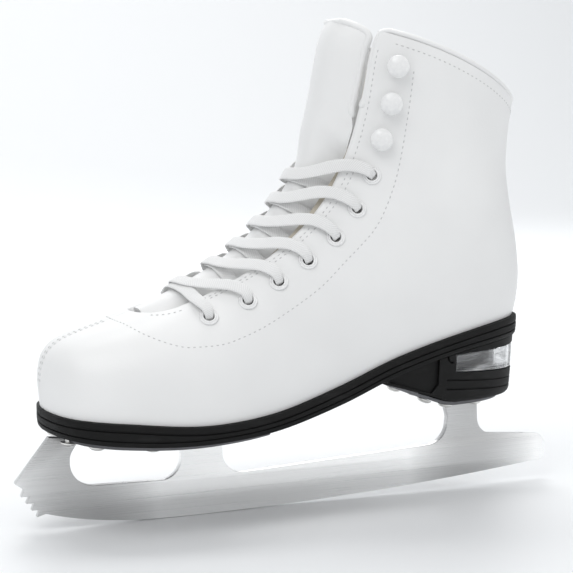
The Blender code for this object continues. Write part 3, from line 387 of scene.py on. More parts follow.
def noise(look, vector, scale, detail=2.0, roughness=0.5):
    inputs = {"Vector": vector, "Scale": scale, "Detail": detail, "Roughness": roughness}
    return node(look, "ShaderNodeTexNoise", inputs).outputs["Fac"]


def waves(look, vector, scale, direction, **inputs):
    made = node(look, "ShaderNodeTexWave", {"Vector": vector, "Scale": scale}, bands_direction=direction)
    for name, value in inputs.items():
        made.inputs[name.replace("_", " ")].default_value = value
    return made.outputs["Fac"]


def combined(look, operation, first, second):
    return node(look, "ShaderNodeMath", {0: first, 1: second}, operation=operation).outputs[0]


def span(look, value, low, high, start=0.3, end=0.7):
    """The value stretched so that start becomes low and end becomes high."""
    inputs = {"Value": value, "From Min": start, "From Max": end, "To Min": low, "To Max": high}
    return node(look, "ShaderNodeMapRange", inputs).outputs["Result"]


def between(look, share, first, second):
    made = node(look, "ShaderNodeMix", {0: share}, data_type="RGBA")
    made.inputs["A"].default_value = (*first, 1)
    made.inputs["B"].default_value = (*second, 1)
    return made.outputs["Result"]


def relief(look, layers):
    """Bumps on top of each other, as (height socket, distance in metres, strength)."""
    normal = None
    for height, distance, strength in layers:
        inputs = {"Height": height, "Distance": distance, "Strength": strength}
        if normal:
            inputs["Normal"] = normal
        normal = node(look, "ShaderNodeBump", inputs).outputs["Normal"]
    to_shader(look, normal, "Normal")


def leather_look():
    """Coated white leather: fine grain, faint long ripples and a little unevenness in tone and gloss."""
    look = new_look("white_leather", (0.84, 0.84, 0.835), 0.4)
    space = places(look)
    cells = node(look, "ShaderNodeTexVoronoi", {"Vector": space, "Scale": 1150.0}, feature="SMOOTH_F1")
    pores = noise(look, space, 620.0, 3.0)
    ripple = noise(look, space, 26.0, 2.0)
    relief(look, [(ripple, 0.0016, 0.22), (pores, 0.00008, 0.35), (cells.outputs["Distance"], 0.00006, 0.3)])
    tone = noise(look, space, 14.0, 3.0)
    white = between(look, span(look, tone, 0, 1), (0.80, 0.80, 0.797), (0.87, 0.87, 0.865))
    to_shader(look, white, "Base Color")
    to_shader(look, span(look, pores, 0.36, 0.46), "Roughness")
    set_shader(look, Specular_IOR_Level=0.45, Coat_Weight=0.12, Coat_Roughness=0.3)
    return look


def lining_look():
    """Brushed knit lining."""
    look = new_look("lining_fabric", (0.76, 0.76, 0.75), 0.9)
    space = places(look)
    knit = waves(look, space, 620.0, "Z", Distortion=2.5, Detail=1.0)
    fuzz = noise(look, space, 900.0, 3.0)
    relief(look, [(knit, 0.00014, 0.5), (fuzz, 0.0001, 0.5)])
    to_shader(look, between(look, fuzz, (0.70, 0.70, 0.69), (0.81, 0.81, 0.80)), "Base Color")
    set_shader(look, Sheen_Weight=0.25)
    return look


def board_look(name, dark, light):
    """Pressed fibre, used for the insole board and the stiffeners."""
    look = new_look(name, light, 0.8)
    fibre = noise(look, places(look), 260.0, 5.0, 0.7)
    relief(look, [(fibre, 0.00012, 0.5)])
    to_shader(look, between(look, fibre, dark, light), "Base Color")
    return look


def rubber_look():
    """Moulded near-black rubber with a fine matt texture and paler, scuffed patches."""
    look = new_look("black_rubber", (0.016, 0.016, 0.017), 0.5)
    fine = noise(look, places(look), 1500.0, 2.0)
    scuff = noise(look, places(look, (0.5, 1, 2.2)), 90.0, 4.0, 0.65)
    relief(look, [(fine, 0.00006, 0.35), (scuff, 0.00012, 0.12)])
    scuffed = span(look, scuff, 0, 1, 0.52, 0.8)
    to_shader(look, between(look, scuffed, (0.006, 0.006, 0.006), (0.018, 0.018, 0.018)), "Base Color")
    to_shader(look, span(look, scuff, 0.5, 0.66), "Roughness")
    set_shader(look, Specular_IOR_Level=0.18)
    return look


def plate_look():
    """Dark steel plate: fine upright lines, in a slightly uneven tone."""
    look = new_look("dark_steel", (0.19, 0.19, 0.2), 0.42, 1.0)
    lines = noise(look, places(look, (60, 60, 900)), 1.0, 4.0, 0.65)
    clouds = noise(look, places(look), 34.0, 3.0)
    relief(look, [(lines, 0.00003, 0.35)])
    shade = span(look, combined(look, "ADD", lines, clouds), 0, 1, 0.75, 1.25)
    to_shader(look, between(look, shade, (0.10, 0.10, 0.105), (0.19, 0.19, 0.2)), "Base Color")
    to_shader(look, span(look, lines, 0.35, 0.51), "Roughness")
    set_shader(look, Anisotropic=0.55)
    return look


def blade_look():
    """Bright steel brushed along the blade, with two soft darker bands across it that are painted reflections
    of dark surroundings, set into its colour.
    """
    look = new_look("brushed_steel", (0.9, 0.9, 0.9), 0.3, 1.0)
    lines = noise(look, places(look, (10, 30, 3000)), 1.0, 4.0, 0.65)
    # Painted reflection: a slow wave along the blade darkens its colour in two soft bands, in place of dark
    # surroundings mirrored in the steel.
    painted_reflection_bands = waves(look, places(look), 1.5, "X", Phase_Offset=3.3)
    streak = span(look, lines, -0.1, 0.1, 0.35, 0.65)
    shade = combined(look, "ADD", span(look, painted_reflection_bands, 0, 1, 0.0, 0.3), streak)
    relief(look, [(lines, 0.00002, 0.3)])
    # The darker colour is where the painted reflection bands fall; the fine streaks on top are the brushing.
    to_shader(look, between(look, shade, (0.50, 0.50, 0.50), (1.0, 1.0, 0.995)), "Base Color")
    to_shader(look, span(look, lines, 0.24, 0.38), "Roughness")
    set_shader(look, Anisotropic=0.5)
    return look


def nickel_look():
    look = new_look("nickel", (0.74, 0.73, 0.71), 0.16, 1.0)
    wear = noise(look, places(look), 700.0, 3.0)
    relief(look, [(wear, 0.00002, 0.3)])
    to_shader(look, span(look, wear, 0.128, 0.224), "Roughness")
    return look


def enamel_look():
    """White paint on eyelets and hooks, a little greyer in places."""
    look = new_look("white_enamel", (0.86, 0.86, 0.855), 0.25)
    peel = noise(look, places(look), 500.0, 2.0)
    relief(look, [(peel, 0.00004, 0.4)])
    white = between(look, span(look, peel, 0, 1), (0.80, 0.80, 0.80), (0.88, 0.88, 0.875))
    to_shader(look, white, "Base Color")
    set_shader(look, Coat_Weight=0.3)
    return look


def lace_look():
    """A flat woven lace: ribs along it, and the herringbone of the threads across them."""
    look = new_look("lace_cotton", (0.84, 0.84, 0.83), 0.75)
    ribs = waves(look, places(look, space="UV"), 1.75, "Y")
    threads = waves(look, places(look, (1.0, 0.6, 1), "UV"), 0.62, "DIAGONAL", Distortion=0.6, Detail=1.0)
    fuzz = noise(look, places(look), 1400.0, 2.0)
    relief(look, [(ribs, 0.00007, 0.6), (threads, 0.00005, 0.6), (fuzz, 0.00003, 0.4)])
    weave = span(look, combined(look, "MULTIPLY", ribs, threads), 0, 1, 0.0, 0.5)
    to_shader(look, between(look, weave, (0.79, 0.79, 0.785), (0.93, 0.93, 0.925)), "Base Color")
    set_shader(look, Sheen_Weight=0.15)
    return look


def clear_look(name, tint, streaked):
    """Clear moulded plastic; the heel's insert holds milky streaks."""
    look = new_look(name, tint, 0.08)
    set_shader(look, IOR=1.49, Transmission_Weight=0.85)
    if streaked:
        streaks = noise(look, places(look, (0.35, 1, 3.2)), 90.0, 3.0, 0.6)
        to_shader(look, span(look, streaks, 0.97, 0.45, 0.48, 0.72), "Transmission Weight")
        to_shader(look, span(look, streaks, 0.04, 0.25), "Roughness")
    return look


def thread_look():
    # Painted shade: the stitches are real thread, but their mid grey is darker than the white thread so that
    # they show as the dark dots of the shaded stitch holes.
    look = new_look("thread", (0.60, 0.60, 0.60), 0.7)
    relief(look, [(waves(look, places(look), 700.0, "DIAGONAL"), 0.0001, 0.5)])
    return look


def make_looks():
    return {
        "white_leather": leather_look(),
        "lining_fabric": lining_look(),
        "stiffener": board_look("stiffener", (0.44, 0.40, 0.33), (0.62, 0.57, 0.48)),
        "insole_board": board_look("insole_board", (0.34, 0.25, 0.16), (0.50, 0.39, 0.27)),
        "black_rubber": rubber_look(),
        "clear_plastic": clear_look("clear_plastic", (0.86, 0.87, 0.88), True),
        "aglet_plastic": clear_look("aglet_plastic", (0.9, 0.9, 0.9), False),
        "brushed_steel": blade_look(),
        "dark_steel": plate_look(),
        "nickel": nickel_look(),
        "white_enamel": enamel_look(),
        "lace_cotton": lace_look(),
        "thread": thread_look(),
    }


# ---------------------------------------------------------------- piece builders
def placed(points):
    """Points of the tables, in mm, brought to the frame, in metres."""
    return (np.asarray(points, float) - (BLADE_MIDDLE, 0, 0)) * MM


def mesh_of(name, points, faces, weld=0.0, smallest=0.0):
    """A mesh from points in metres, with points closer than weld made one and faces without area removed."""
    bm = bmesh.new()
    verts = [bm.verts.new(point) for point in points]
    for corners in faces:
        bm.faces.new([verts[k] for k in corners])
    if weld:
        bmesh.ops.remove_doubles(bm, verts=bm.verts, dist=weld)
    if smallest:
        bmesh.ops.dissolve_degenerate(bm, edges=bm.edges, dist=smallest)
    bmesh.ops.recalc_face_normals(bm, faces=bm.faces)
    mesh = bpy.data.meshes.new(name)
    bm.to_mesh(mesh)
    bm.free()
    return mesh


def in_scene(name, data):
    obj = bpy.data.objects.new(name, data)
    bpy.context.scene.collection.objects.link(obj)
    return obj


def piece(name, points, faces, finish, sharp=40, body="boot", replaces=(), slot=None, weld=0.0):
    """A named mesh that rides on a body and stands for the CAD nodes it replaces."""
    obj = in_scene(name, mesh_of(name, placed(points), faces, weld * MM))
    return finished(obj, finish, sharp, body, replaces, slot)


def finished(obj, finish, sharp=40, body="boot", replaces=(), slot=None):
    """Gives a piece its look, its body and the CAD nodes it stands for."""
    obj.data.shade_smooth()
    obj.data.set_sharp_from_angle(angle=math.radians(sharp))
    obj.data.materials.clear()
    obj.data.materials.append(looks[finish])
    if body:
        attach(obj, body)
    slot or finish
    if replaces:
        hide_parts(*replaces)
    return obj


def loft(rings, closed=True, caps=True):
    """Points and faces of a skin through rings of equal length."""
    rings = np.asarray(rings)
    rows, count, _ = rings.shape
    faces = []
    for i in range(rows - 1):
        for j in range(count if closed else count - 1):
            k = (j + 1) % count
            faces.append((i * count + j, i * count + k, (i + 1) * count + k, (i + 1) * count + j))
    if caps:
        faces.append(tuple(range(count))[::-1])
        faces.append(tuple(range((rows - 1) * count, rows * count)))
    return rings.reshape(-1, 3), faces


def joined(parts):
    """One list of points and faces from several."""
    points, faces = [], []
    for more_points, more_faces in parts:
        start = sum(len(p) for p in points)
        points.append(np.asarray(more_points))
        faces += [tuple(k + start for k in corners) for corners in more_faces]
    return np.concatenate(points), faces


def sweep(points, normals, half_across, half_up, section):
    """A section of (across, up) carried along points, its up side kept to the normals."""
    tangents = unit(np.gradient(points, axis=0))
    across = unit(np.cross(tangents, normals))
    for i in range(1, len(across)):
        if across[i] @ across[i - 1] < 0:
            across[i] = -across[i]
    up = np.cross(across, tangents)
    section = np.asarray(section, float)
    width = np.broadcast_to(half_across, len(points))[:, None, None]
    thick = np.broadcast_to(half_up, len(points))[:, None, None]
    return (points[:, None, :] + across[:, None, :] * width * section[None, :, 0:1]
            + up[:, None, :] * thick * section[None, :, 1:2])


def circle(count):
    """A round section of half width and half height 1."""
    angle = np.linspace(0, 2 * math.pi, count, endpoint=False)
    return np.stack([np.cos(angle), np.sin(angle)], 1)


def round_ends(shares, count=5):
    """Shares that shrink to nearly nothing over the last steps at both ends, for a rounded end."""
    shares = np.array(shares, float)
    curve = np.sqrt(1 - (1 - np.linspace(0.12, 1, count)) ** 2)
    shares[:count] *= curve
    shares[-count:] *= curve[::-1]
    return shares


def turned(profile, steps=48):
    """Points and faces spun from a profile of (radius, height), which runs down the outer side."""
    profile = np.asarray(profile, float)
    angle = np.linspace(0, 2 * math.pi, steps, endpoint=False)
    rings = np.stack([np.outer(np.cos(angle), profile[:, 0]), np.outer(np.sin(angle), profile[:, 0]),
                      np.broadcast_to(profile[:, 1], (steps, len(profile)))], -1)
    rings = np.concatenate([rings, rings[:1]])
    open_profile = profile[0, 0] == 0 and profile[-1, 0] == 0
    return loft(rings, closed=not open_profile, caps=False)


def local_mesh(name, parts):
    """A mesh in metres in its own frame, for pieces that are placed by a matrix."""
    points, faces = joined(parts)
    return mesh_of(name, points * MM, faces, weld=0.001 * MM, smallest=0.0001 * MM)


def facing_matrix(point, normal, along):
    """A matrix in the frame whose Z is the surface's normal and whose X points along the given direction."""
    z_axis = Vector(normal).normalized()
    x_axis = Vector(along) - z_axis * Vector(along).dot(z_axis)
    x_axis.normalize()
    y_axis = z_axis.cross(x_axis)
    matrix = Matrix((x_axis, y_axis, z_axis)).transposed().to_4x4()
    matrix.translation = Vector(placed(point))
    return matrix


def cut(obj, cutter):
    """Takes the cutter away from obj for good."""
    modifier = obj.modifiers.new("cut", "BOOLEAN")
    modifier.operation = "DIFFERENCE"
    modifier.object = cutter
    bpy.context.view_layer.update()
    evaluated = obj.evaluated_get(bpy.context.evaluated_depsgraph_get())
    mesh = bpy.data.meshes.new_from_object(evaluated)
    obj.modifiers.clear()
    obj.data = mesh


def helper(name, points, faces):
    """A cutter in the frame, removed again by `drop`."""
    return in_scene(name, mesh_of(name, placed(points), faces))


def drop(obj):
    bpy.data.objects.remove(obj, do_unlink=True)


# ---------------------------------------------------------------- boot: leather, lining and backstay
EDGE_OFFSETS = np.array([13, 10, 7.5, 5.5, 4, 2.8, 1.8, 1.0, 0.4, 0.0])
# How the leather turns in over the throat's edge: towards the throat, and depth.
TURNED_EDGE = [(-0.55, 0.3), (-0.95, 0.9), (-1.15, 1.9), (-1.15, 3.4), (-0.95, 4.5), (-0.55, 5.1),
               (-0.1, 5.25), (-0.25, 4.7), (-0.3, 3.2), (-0.2, 1.9)]
LEATHER_LIFTS = np.array([1.0, 2.0, 3.0])   # rows of leather and lining that run on up into the binding


def upper_places():
    """Rows of the fine leather, close together where the shape turns."""
    toe = np.array([0.0, 0.0012, 0.003, 0.006, 0.010, 0.015, 0.021, 0.028])
    throat = THROAT_START + 0.03 * np.linspace(0, 1, 14) ** 2
    heel = HEEL_AT + np.array([-0.03, -0.02, -0.012, -0.006, -0.003, -0.0012, 0, 0.0008, 0.002, 0.005, 0.009])
    even = np.linspace(0.035, COLLAR_END, 120)
    return np.unique(np.round(np.concatenate([toe, throat, heel, even]), 5))


def with_lifts(rows, base_rise, lifts):
    """Rows of a grid, and more above the last one."""
    more = [rows[-1] + base_rise * lift for lift in lifts]
    return np.concatenate([rows, np.array(more)])


def collar_rise(s, side):
    return unit(skin_base(COLLAR_END + 0.004, s, side) - skin_base(COLLAR_END - 0.004, s, side))


def edge_grid(t, side, columns, low):
    """Places s in rows t, from the foot to the throat's edge, closer together towards the edge."""
    width = throat_width(t)[:, None]
    reach = np.clip((half_width(t, side)[:, None] - width) / 18, 0, 1)
    near_edge = place_at_width(t[:, None], width + EDGE_OFFSETS * reach, side)
    rest = rib_angles(low, near_edge[:, 0], columns)[:, :-1]
    return np.concatenate([rest, near_edge], axis=1)


def build_upper(side):
    """Half of the leather, turned in along the throat and dipping into the seam over the toe."""
    t = upper_places()
    s = edge_grid(t, side, 44, place_at_sole(t, 0.1))
    width = throat_width(t)[:, None]
    from_seam = np.abs(skin_base(t[:, None], s, side)[..., 1] - centre_line(t)[:, None])
    dip = 0.35 * (1 - smooth_step(from_seam / 1.1)) * (t < THROAT_START + 0.02)[:, None]
    rows_t = np.broadcast_to(t[:, None], s.shape)
    outer = skin(rows_t, s, side, dip)
    roll = smooth_step((width - 3) / 8)
    turned_s, turned_depth = [], []
    for out, depth in TURNED_EDGE:
        turned_s.append(place_at_width(t[:, None], width + out * roll, side))
        turned_depth.append(mix(min(depth, LEATHER_THICK), depth, roll))
    turned_s, turned_depth = np.concatenate(turned_s, axis=1), np.concatenate(turned_depth, axis=1)
    turned = skin(np.broadcast_to(t[:, None], turned_s.shape), turned_s, side, turned_depth)
    inner = skin(rows_t, s, side, LEATHER_THICK)[:, ::-1]
    rings = np.concatenate([outer, turned, inner], axis=1)
    all_s = np.concatenate([s, turned_s, s[:, ::-1]], axis=1)
    rings = with_lifts(rings, collar_rise(all_s[-1], side), LEATHER_LIFTS)
    rings[..., 1] += side * 0.06
    return piece(f"leather_{SIDES[side]}", *loft(rings), "white_leather", sharp=60,
                 replaces=[f"upper_{SIDES[side]}"], weld=0.002)


def build_lining():
    """The sock that lines the boot: both walls and the floor over the insole board."""
    t = upper_places()
    parts = []
    for side in (NEAR, FAR):
        low = place_at_sole(t, SOCK)
        wall = edge_grid(t, side, 26, low)
        floor = low[:, None] * np.array([0.0, 0.3, 0.6, 0.85])
        s = np.concatenate([floor, wall], axis=1)
        rows_t = np.broadcast_to(t[:, None], s.shape)
        layers = []
        for depth, level in ((LINING[0], SOCK), (LINING[1], SOCK + LINING[1] - LINING[0])):
            grid = skin(rows_t, s, side, depth)
            grid[..., 2] = np.maximum(grid[..., 2], sole_top(grid[..., 0]) + level)
            layers.append(grid)
        rings = np.concatenate([layers[0], layers[1][:, ::-1]], axis=1)
        all_s = np.concatenate([s, s[:, ::-1]], axis=1)
        parts.append(loft(with_lifts(rings, collar_rise(all_s[-1], side), LEATHER_LIFTS)))
    return piece("sock_lining", *joined(parts), "lining_fabric", sharp=60, replaces=["lining"], weld=0.002)


BACKSTAY = (8.6, 0.75)   # half width, and how far it stands out from the leather


def build_backstay():
    """The strip over the back seam, from the sole to the collar."""
    half, raised = BACKSTAY
    t = HEEL_AT + np.concatenate([[0.0006, 0.003, 0.008], np.linspace(0.015, COLLAR_END - HEEL_AT, 60)])
    u = np.sin(np.linspace(-1, 1, 25) * math.pi / 2)

    def layer(depths):
        columns = []
        for share, depth in zip(u, depths):
            side = NEAR if share < 0 else FAR
            s = place_at_width(t, abs(share) * half, side, upper=False)
            columns.append(skin(t, s, side, depth))
        return np.stack(columns, axis=1)

    outer, inner = layer(-raised * (1 - np.abs(u) ** 10)), layer(np.full_like(u, -0.02))
    rings = np.concatenate([outer, inner[:, ::-1]], axis=1)
    rings = with_lifts(rings, unit(rings[-1] - rings[-4]), LEATHER_LIFTS)
    piece("backstay_strip", *loft(rings), "white_leather", sharp=50, replaces=["backstay"])


def collar_point(s, lift, side, depth):
    """A point this far above the frame's leather, along the wall."""
    return skin(COLLAR_END, s, side, depth) + collar_rise(s, side) * lift


ROLL = (1.5, 2.85)      # half width and half thickness of the edging down the throat
BINDING = (1.55, 2.75)  # half height and half thickness of the collar's binding
BINDING_LIFT = 4.3      # middle of the binding over the end of the leather
COLLAR_STEPS = 14       # points of its route along each half of the collar
BULB = 1.55             # how much fuller the edging is at its lower end


def build_collar_binding():
    """The rolled edge: up both throat edges from a small bulb, then round the collar."""
    middle = LINING[1] / 2
    route = []
    for side in (NEAR, FAR):
        run = []
        for t in np.linspace(ROLL_START, COLLAR_END, 9):
            s = place_at_width(t, throat_width(t) - 0.2, side)
            run.append((*skin(t, s, side, middle), *skin_normal(t, s, side), *ROLL))
        for out, lift, share in ((0.1, 2.4, 0.25), (1.8, 4.0, 0.6)):
            s = place_at_width(COLLAR_END, throat_width(COLLAR_END) + out, side)
            run.append((*collar_point(s, lift, side, middle), *skin_normal(COLLAR_END, s, side),
                        mix(ROLL[0], BINDING[0], share), mix(ROLL[1], BINDING[1], share)))
        angle = float(angle_of(place_at_width(COLLAR_END, throat_width(COLLAR_END) + 5, side)))
        last = 0 if side == NEAR else 1   # one point at the back is enough for both halves
        for share in np.arange(COLLAR_STEPS, last - 1, -1) / COLLAR_STEPS:
            s = math.sin(angle * share / 2) ** 2
            point = collar_point(s, BINDING_LIFT, side, middle)
            run.append((*point, *skin_normal(COLLAR_END, s, side), *BINDING))
        route += run if side == NEAR else run[::-1]
    route = smooth_route(route, 0.9)
    along = lengths_along(route)
    from_end = np.minimum(along, along[-1] - along)
    bulb = 1 + (BULB - 1) * np.exp(-((from_end - 2.4) / 2.2) ** 2)
    half_w = round_ends(route[:, 6] * bulb, 4)
    half_t = round_ends(route[:, 7] * mix(1, bulb, 0.25), 4)
    rings = sweep(route[:, :3], unit(route[:, 3:6]), half_w, half_t, circle(16))
    piece("collar_roll", *loft(rings), "white_leather", sharp=80, replaces=["collar_binding"])


# ---------------------------------------------------------------- stitching
STITCH = (1.5, 0.26, 0.2)    # length, half width and half height
STITCH_PITCH = 2.75
STITCH_SHARES = np.array([0.25, 0.85, 1, 1, 0.85, 0.25])   # how full a stitch is along its length


def read_along(table, along, at):
    """The table's columns at the given lengths along it."""
    return np.stack([np.interp(at, along, column) for column in table.T], 1)


def stitch_row(points, normals):
    """Stitches along a line on the leather."""
    along = lengths_along(points)
    length, half, high = STITCH
    parts = []
    for begin in np.arange(0, along[-1] - length, STITCH_PITCH):
        at = begin + length * np.linspace(0, 1, len(STITCH_SHARES))
        normal = unit(read_along(normals, along, at))
        sunk = read_along(points, along, at) + normal * (0.16 * STITCH_SHARES[:, None] - 0.1)
        parts.append(loft(sweep(sunk, normal, half * STITCH_SHARES, high * STITCH_SHARES, circle(8))))
    return parts


def line_on_skin(t, s, side, step=0.7):
    """A smooth line on the leather through places (t, s), with its normals."""
    route = smooth_route(np.column_stack([skin(t, s, side), t, s]), step)
    t, s = route[:, 3], np.clip(route[:, 4], 0, 1)
    return skin(t, s, side), skin_normal(t, s, side)


# Seam round the facing, as places (t, s) from the toe's seam to the collar.
FACING_LINE = [(0.158, 1.0), (0.167, 0.972), (0.189, 0.892), (0.212, 0.827), (0.241, 0.764), (0.271, 0.729),
               (0.305, 0.699), (0.342, 0.689), (0.42, 0.679), (0.506, 0.669), (0.558, 0.682), (0.612, 0.692),
               (0.656, 0.704), (0.70, 0.719), (0.742, 0.722), (0.813, 0.714), (0.835, 0.709), (0.912, 0.694),
               (0.955, 0.697)]


# Seams along the throat: distance from its edge, first and last place, and the number of places between.
THROAT_SEAMS = [(1.3, 0.30, 0.965, 60), (2.5, 0.31, 0.72, 60), (2.6, 0.21, 0.262, 12)]


def seams(side):
    """Places (t, s) of a side's seams: round the facing, along the throat, over the toe, collar and back."""
    yield np.array(FACING_LINE).T
    for inset, first, last, count in THROAT_SEAMS:
        t = np.linspace(first, last, count)
        yield t, place_at_width(t, throat_width(t) + inset, side)
    t = np.linspace(0.012, 0.152, 30)
    yield t, place_at_width(t, 1.5, side)
    low = place_at_width(COLLAR_END, BACKSTAY[0] + 1.5, side, upper=False)
    high = place_at_width(COLLAR_END, throat_width(COLLAR_END) + 4.5, side)
    yield np.full(40, COLLAR_END - 0.004), np.linspace(low, high, 40)
    t = np.linspace(HEEL_AT + 0.012, COLLAR_END - 0.01, 40)
    yield t, place_at_width(t, BACKSTAY[0] + 1.3, side, upper=False)


def build_stitches():
    for side in (NEAR, FAR):
        parts = []
        for t, s in seams(side):
            parts += stitch_row(*line_on_skin(t, s, side))
        piece(f"stitches_{SIDES[side]}", *joined(parts), "thread", sharp=80, slot="lace_cotton")


# ---------------------------------------------------------------- tongue
TONGUE_TOP = 1.004
TONGUE_CORNER = 0.970   # place where its upper corners start
TONGUE_ACROSS = 41      # points across each face
TONGUE_THICK = (7.5, 2.8)     # in its middle and at its edges
TONGUE_CROWN = (-0.2, 2.7)    # how far its middle stands out from the boot's surface, low down and higher up
TONGUE_BURIED = (2.2, 4.0)    # depth of its sides below the lining, at the throat's edge and further in
TONGUE_SIDE = 2.6             # depth of its sides in the boot's surface, above the last eyelets
TONGUE_BINDING = (1.7, 2.0)   # half width and half thickness
UNDER_FACING = (11.0, 30.0)   # how far its lower part reaches under the facings, and its greatest half width
BESIDE_THROAT = (1.6, 2.1)    # its upper part's distance from the throat's edge, and what the bend adds


def tongue_half(t):
    """Half width: wide under the facings, then narrower than the throat where it has to fold."""
    reach, widest = UNDER_FACING
    clear, more = BESIDE_THROAT
    root = np.minimum(throat_width(t) + reach, widest)
    upper = throat_width(t) - clear - more * smooth_step((t - TONGUE_BEND[1]) / 0.05)
    half = mix(root, upper, smooth_step((t - 0.655) / 0.045))
    corner = np.clip((t - TONGUE_CORNER) / (TONGUE_TOP + 0.001 - TONGUE_CORNER), 0, 1)
    return half * (1 - corner**2.8) ** (1 / 2.8)


def tongue_depth(t, y):
    """Depth of the outer face: crowned between the facings, deeper under the laces and the facings."""
    gap = throat_width(t)
    crown = mix(*TONGUE_CROWN, smooth_step((t - 0.62) / 0.12))
    root = LINING[1] + mix(*TONGUE_BURIED, smooth_step((y - gap) / 6.0))
    buried = mix(root, TONGUE_SIDE, smooth_step((t - 0.70) / 0.06))
    dip = smooth_step((y - 4.0) / (gap - 5.0))
    return -crown * (1 - dip) + buried * dip


def tongue_point(t, u, share):
    """A point across the tongue (u from -1 to 1), from its outer face (share 0) to its inner (share 1)."""
    t, u = np.broadcast_arrays(t, u)
    y = np.abs(u) * tongue_half(t)
    top = tongue_depth(t, y)
    thick = mix(*TONGUE_THICK, np.abs(u) ** 1.6)
    thick = thick * mix(0.45, 1, smooth_step((TONGUE_TOP + 0.004 - t) / 0.02))
    found = np.empty(t.shape + (3,))
    for side in (NEAR, FAR):
        here = (u <= 0) if side == NEAR else (u > 0)
        s = place_at_width(t, y, side)
        found = np.where(here[..., None], skin(t, s, side, top + thick * share), found)
    return found


def up_to_top(first, count):
    """Places from here to the tongue's top, closer together towards it."""
    return first + (TONGUE_TOP - first) * np.sin(np.linspace(0.05, 1, count) * math.pi / 2)


def build_tongue():
    """One padded tongue, with its binding."""
    t = np.concatenate([np.linspace(THROAT_START + 0.012, 0.95, 110), up_to_top(0.95, 22)])
    u = np.sin(np.linspace(-1, 1, TONGUE_ACROSS) * math.pi / 2)
    outer = tongue_point(t[:, None], u[None, :], 0.0)
    inner = tongue_point(t[:, None], u[None, ::-1], 1.0)
    middle = tongue_point(t[:, None], np.array([[1.0, -1.0]]), 0.5)
    rings = np.concatenate([outer, middle[:, :1], inner, middle[:, 1:]], axis=1)
    tongue = piece("tongue_pad", *loft(rings), "white_leather", sharp=60, body=None,
                   replaces=["tongue_root", "tongue_upper"])
    build_tongue_binding()
    start, end = [tuple(placed((x, 0, z))) for x, z in (rib(place)[:2] for place in TONGUE_BEND)]
    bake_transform(tongue)


def build_tongue_binding():
    """The rolled binding round the tongue's upper part."""
    rise = np.concatenate([np.linspace(0.80, TONGUE_CORNER, 26), up_to_top(TONGUE_CORNER, 24)])
    u_over = np.linspace(-0.8, 0.8, 9)
    t = np.concatenate([rise, np.full_like(u_over, TONGUE_TOP), rise[::-1]])
    u = np.concatenate([np.full_like(rise, -1.0), u_over, np.full_like(rise, 1.0)])
    route = tongue_point(t, u, 0.5)
    front_x, front_z = rib(t)[:2]
    outward = unit(route - np.stack([front_x + 60, np.zeros_like(front_x), front_z - 12], -1))
    route = smooth_route(np.column_stack([route, outward]), 0.8)
    shares = round_ends(np.ones(len(route)), 5)
    width, thick = TONGUE_BINDING
    rings = sweep(route[:, :3], unit(route[:, 3:6]), width * shares, thick * shares, circle(14))
    piece("tongue_binding", *loft(rings), "white_leather", sharp=80, body="tongue")


# ---------------------------------------------------------------- eyelets, hooks and lace
def row_places(side):
    """Places t of the eyelet and hook rows, evenly pitched along the line they stand on."""
    t = np.linspace(THROAT_FULL, 1.0, 900)
    line = skin_base(t, place_at_width(t, row_width(t), side), side)
    along = lengths_along(line)
    first = np.interp(FIRST_ROW, t, along)
    row = np.arange(EYELET_ROWS + HOOK_ROWS)
    steps = FIRST_PITCH * np.minimum(row, 1) + np.maximum(row - 1, 0)
    return np.interp(first + ROW_PITCH * steps, along, t)


def row_matrix(t, side):
    s = place_at_width(t, row_width(t), side)
    towards_throat = skin_base(t, s + 0.02, side) - skin_base(t, s, side)
    return facing_matrix(skin(t, s, side), skin_normal(t, s, side), -towards_throat)


# Turned profiles of the hardware, as (radius, height over the leather).
EYELET_PROFILE = [(2.45, 0.5), (2.55, 0.9), (2.8, 1.18), (3.1, 1.25), (3.35, 1.12), (3.5, 0.85), (3.62, 0.78),
                  (3.75, 0.88), (3.95, 0.98), (4.2, 0.9), (4.4, 0.68), (4.5, 0.4), (4.5, 0.12), (3.0, 0.12),
                  (2.95, 0.0), (2.95, -5.4), (3.6, -5.5), (3.7, -5.7), (3.2, -5.9), (2.6, -5.75),
                  (2.45, -5.3)]
HOOK_BASE = [(0, 1.45), (1.6, 1.4), (3.2, 1.2), (4.0, 0.9), (4.25, 0.55), (4.25, 0.1), (0, 0.1)]
HOOK_CAP = [(0, 6.5), (1.3, 6.45), (2.6, 6.2), (3.8, 5.75), (4.8, 5.1), (5.35, 4.5), (5.5, 4.1), (5.35, 3.75),
            (4.9, 3.6), (3.4, 3.75), (0, 3.9)]
HOOK_NECK = [(-1.0, 1.0), (-2.4, 1.15), (-3.3, 1.7), (-3.65, 2.7), (-3.3, 3.7), (-2.2, 4.25), (-0.8, 4.4)]
NECK_HALF = (2.5, 0.55)   # half width and half thickness of the neck's strip
NECK_SECTION = [(1, 0.6), (0.8, 1), (-0.8, 1), (-1, 0.6), (-1, -0.6), (-0.8, -1), (0.8, -1), (1, -0.6)]


def hook_neck():
    """The bent strip that carries a hook's cap, on the throat's side of the base."""
    line = smooth_route([(x, 0, z) for x, z in HOOK_NECK], 0.35)
    tangent = unit(np.gradient(line, axis=0))
    normals = np.stack([-tangent[:, 2], np.zeros(len(line)), tangent[:, 0]], -1)
    return loft(sweep(line, normals, *NECK_HALF, NECK_SECTION))


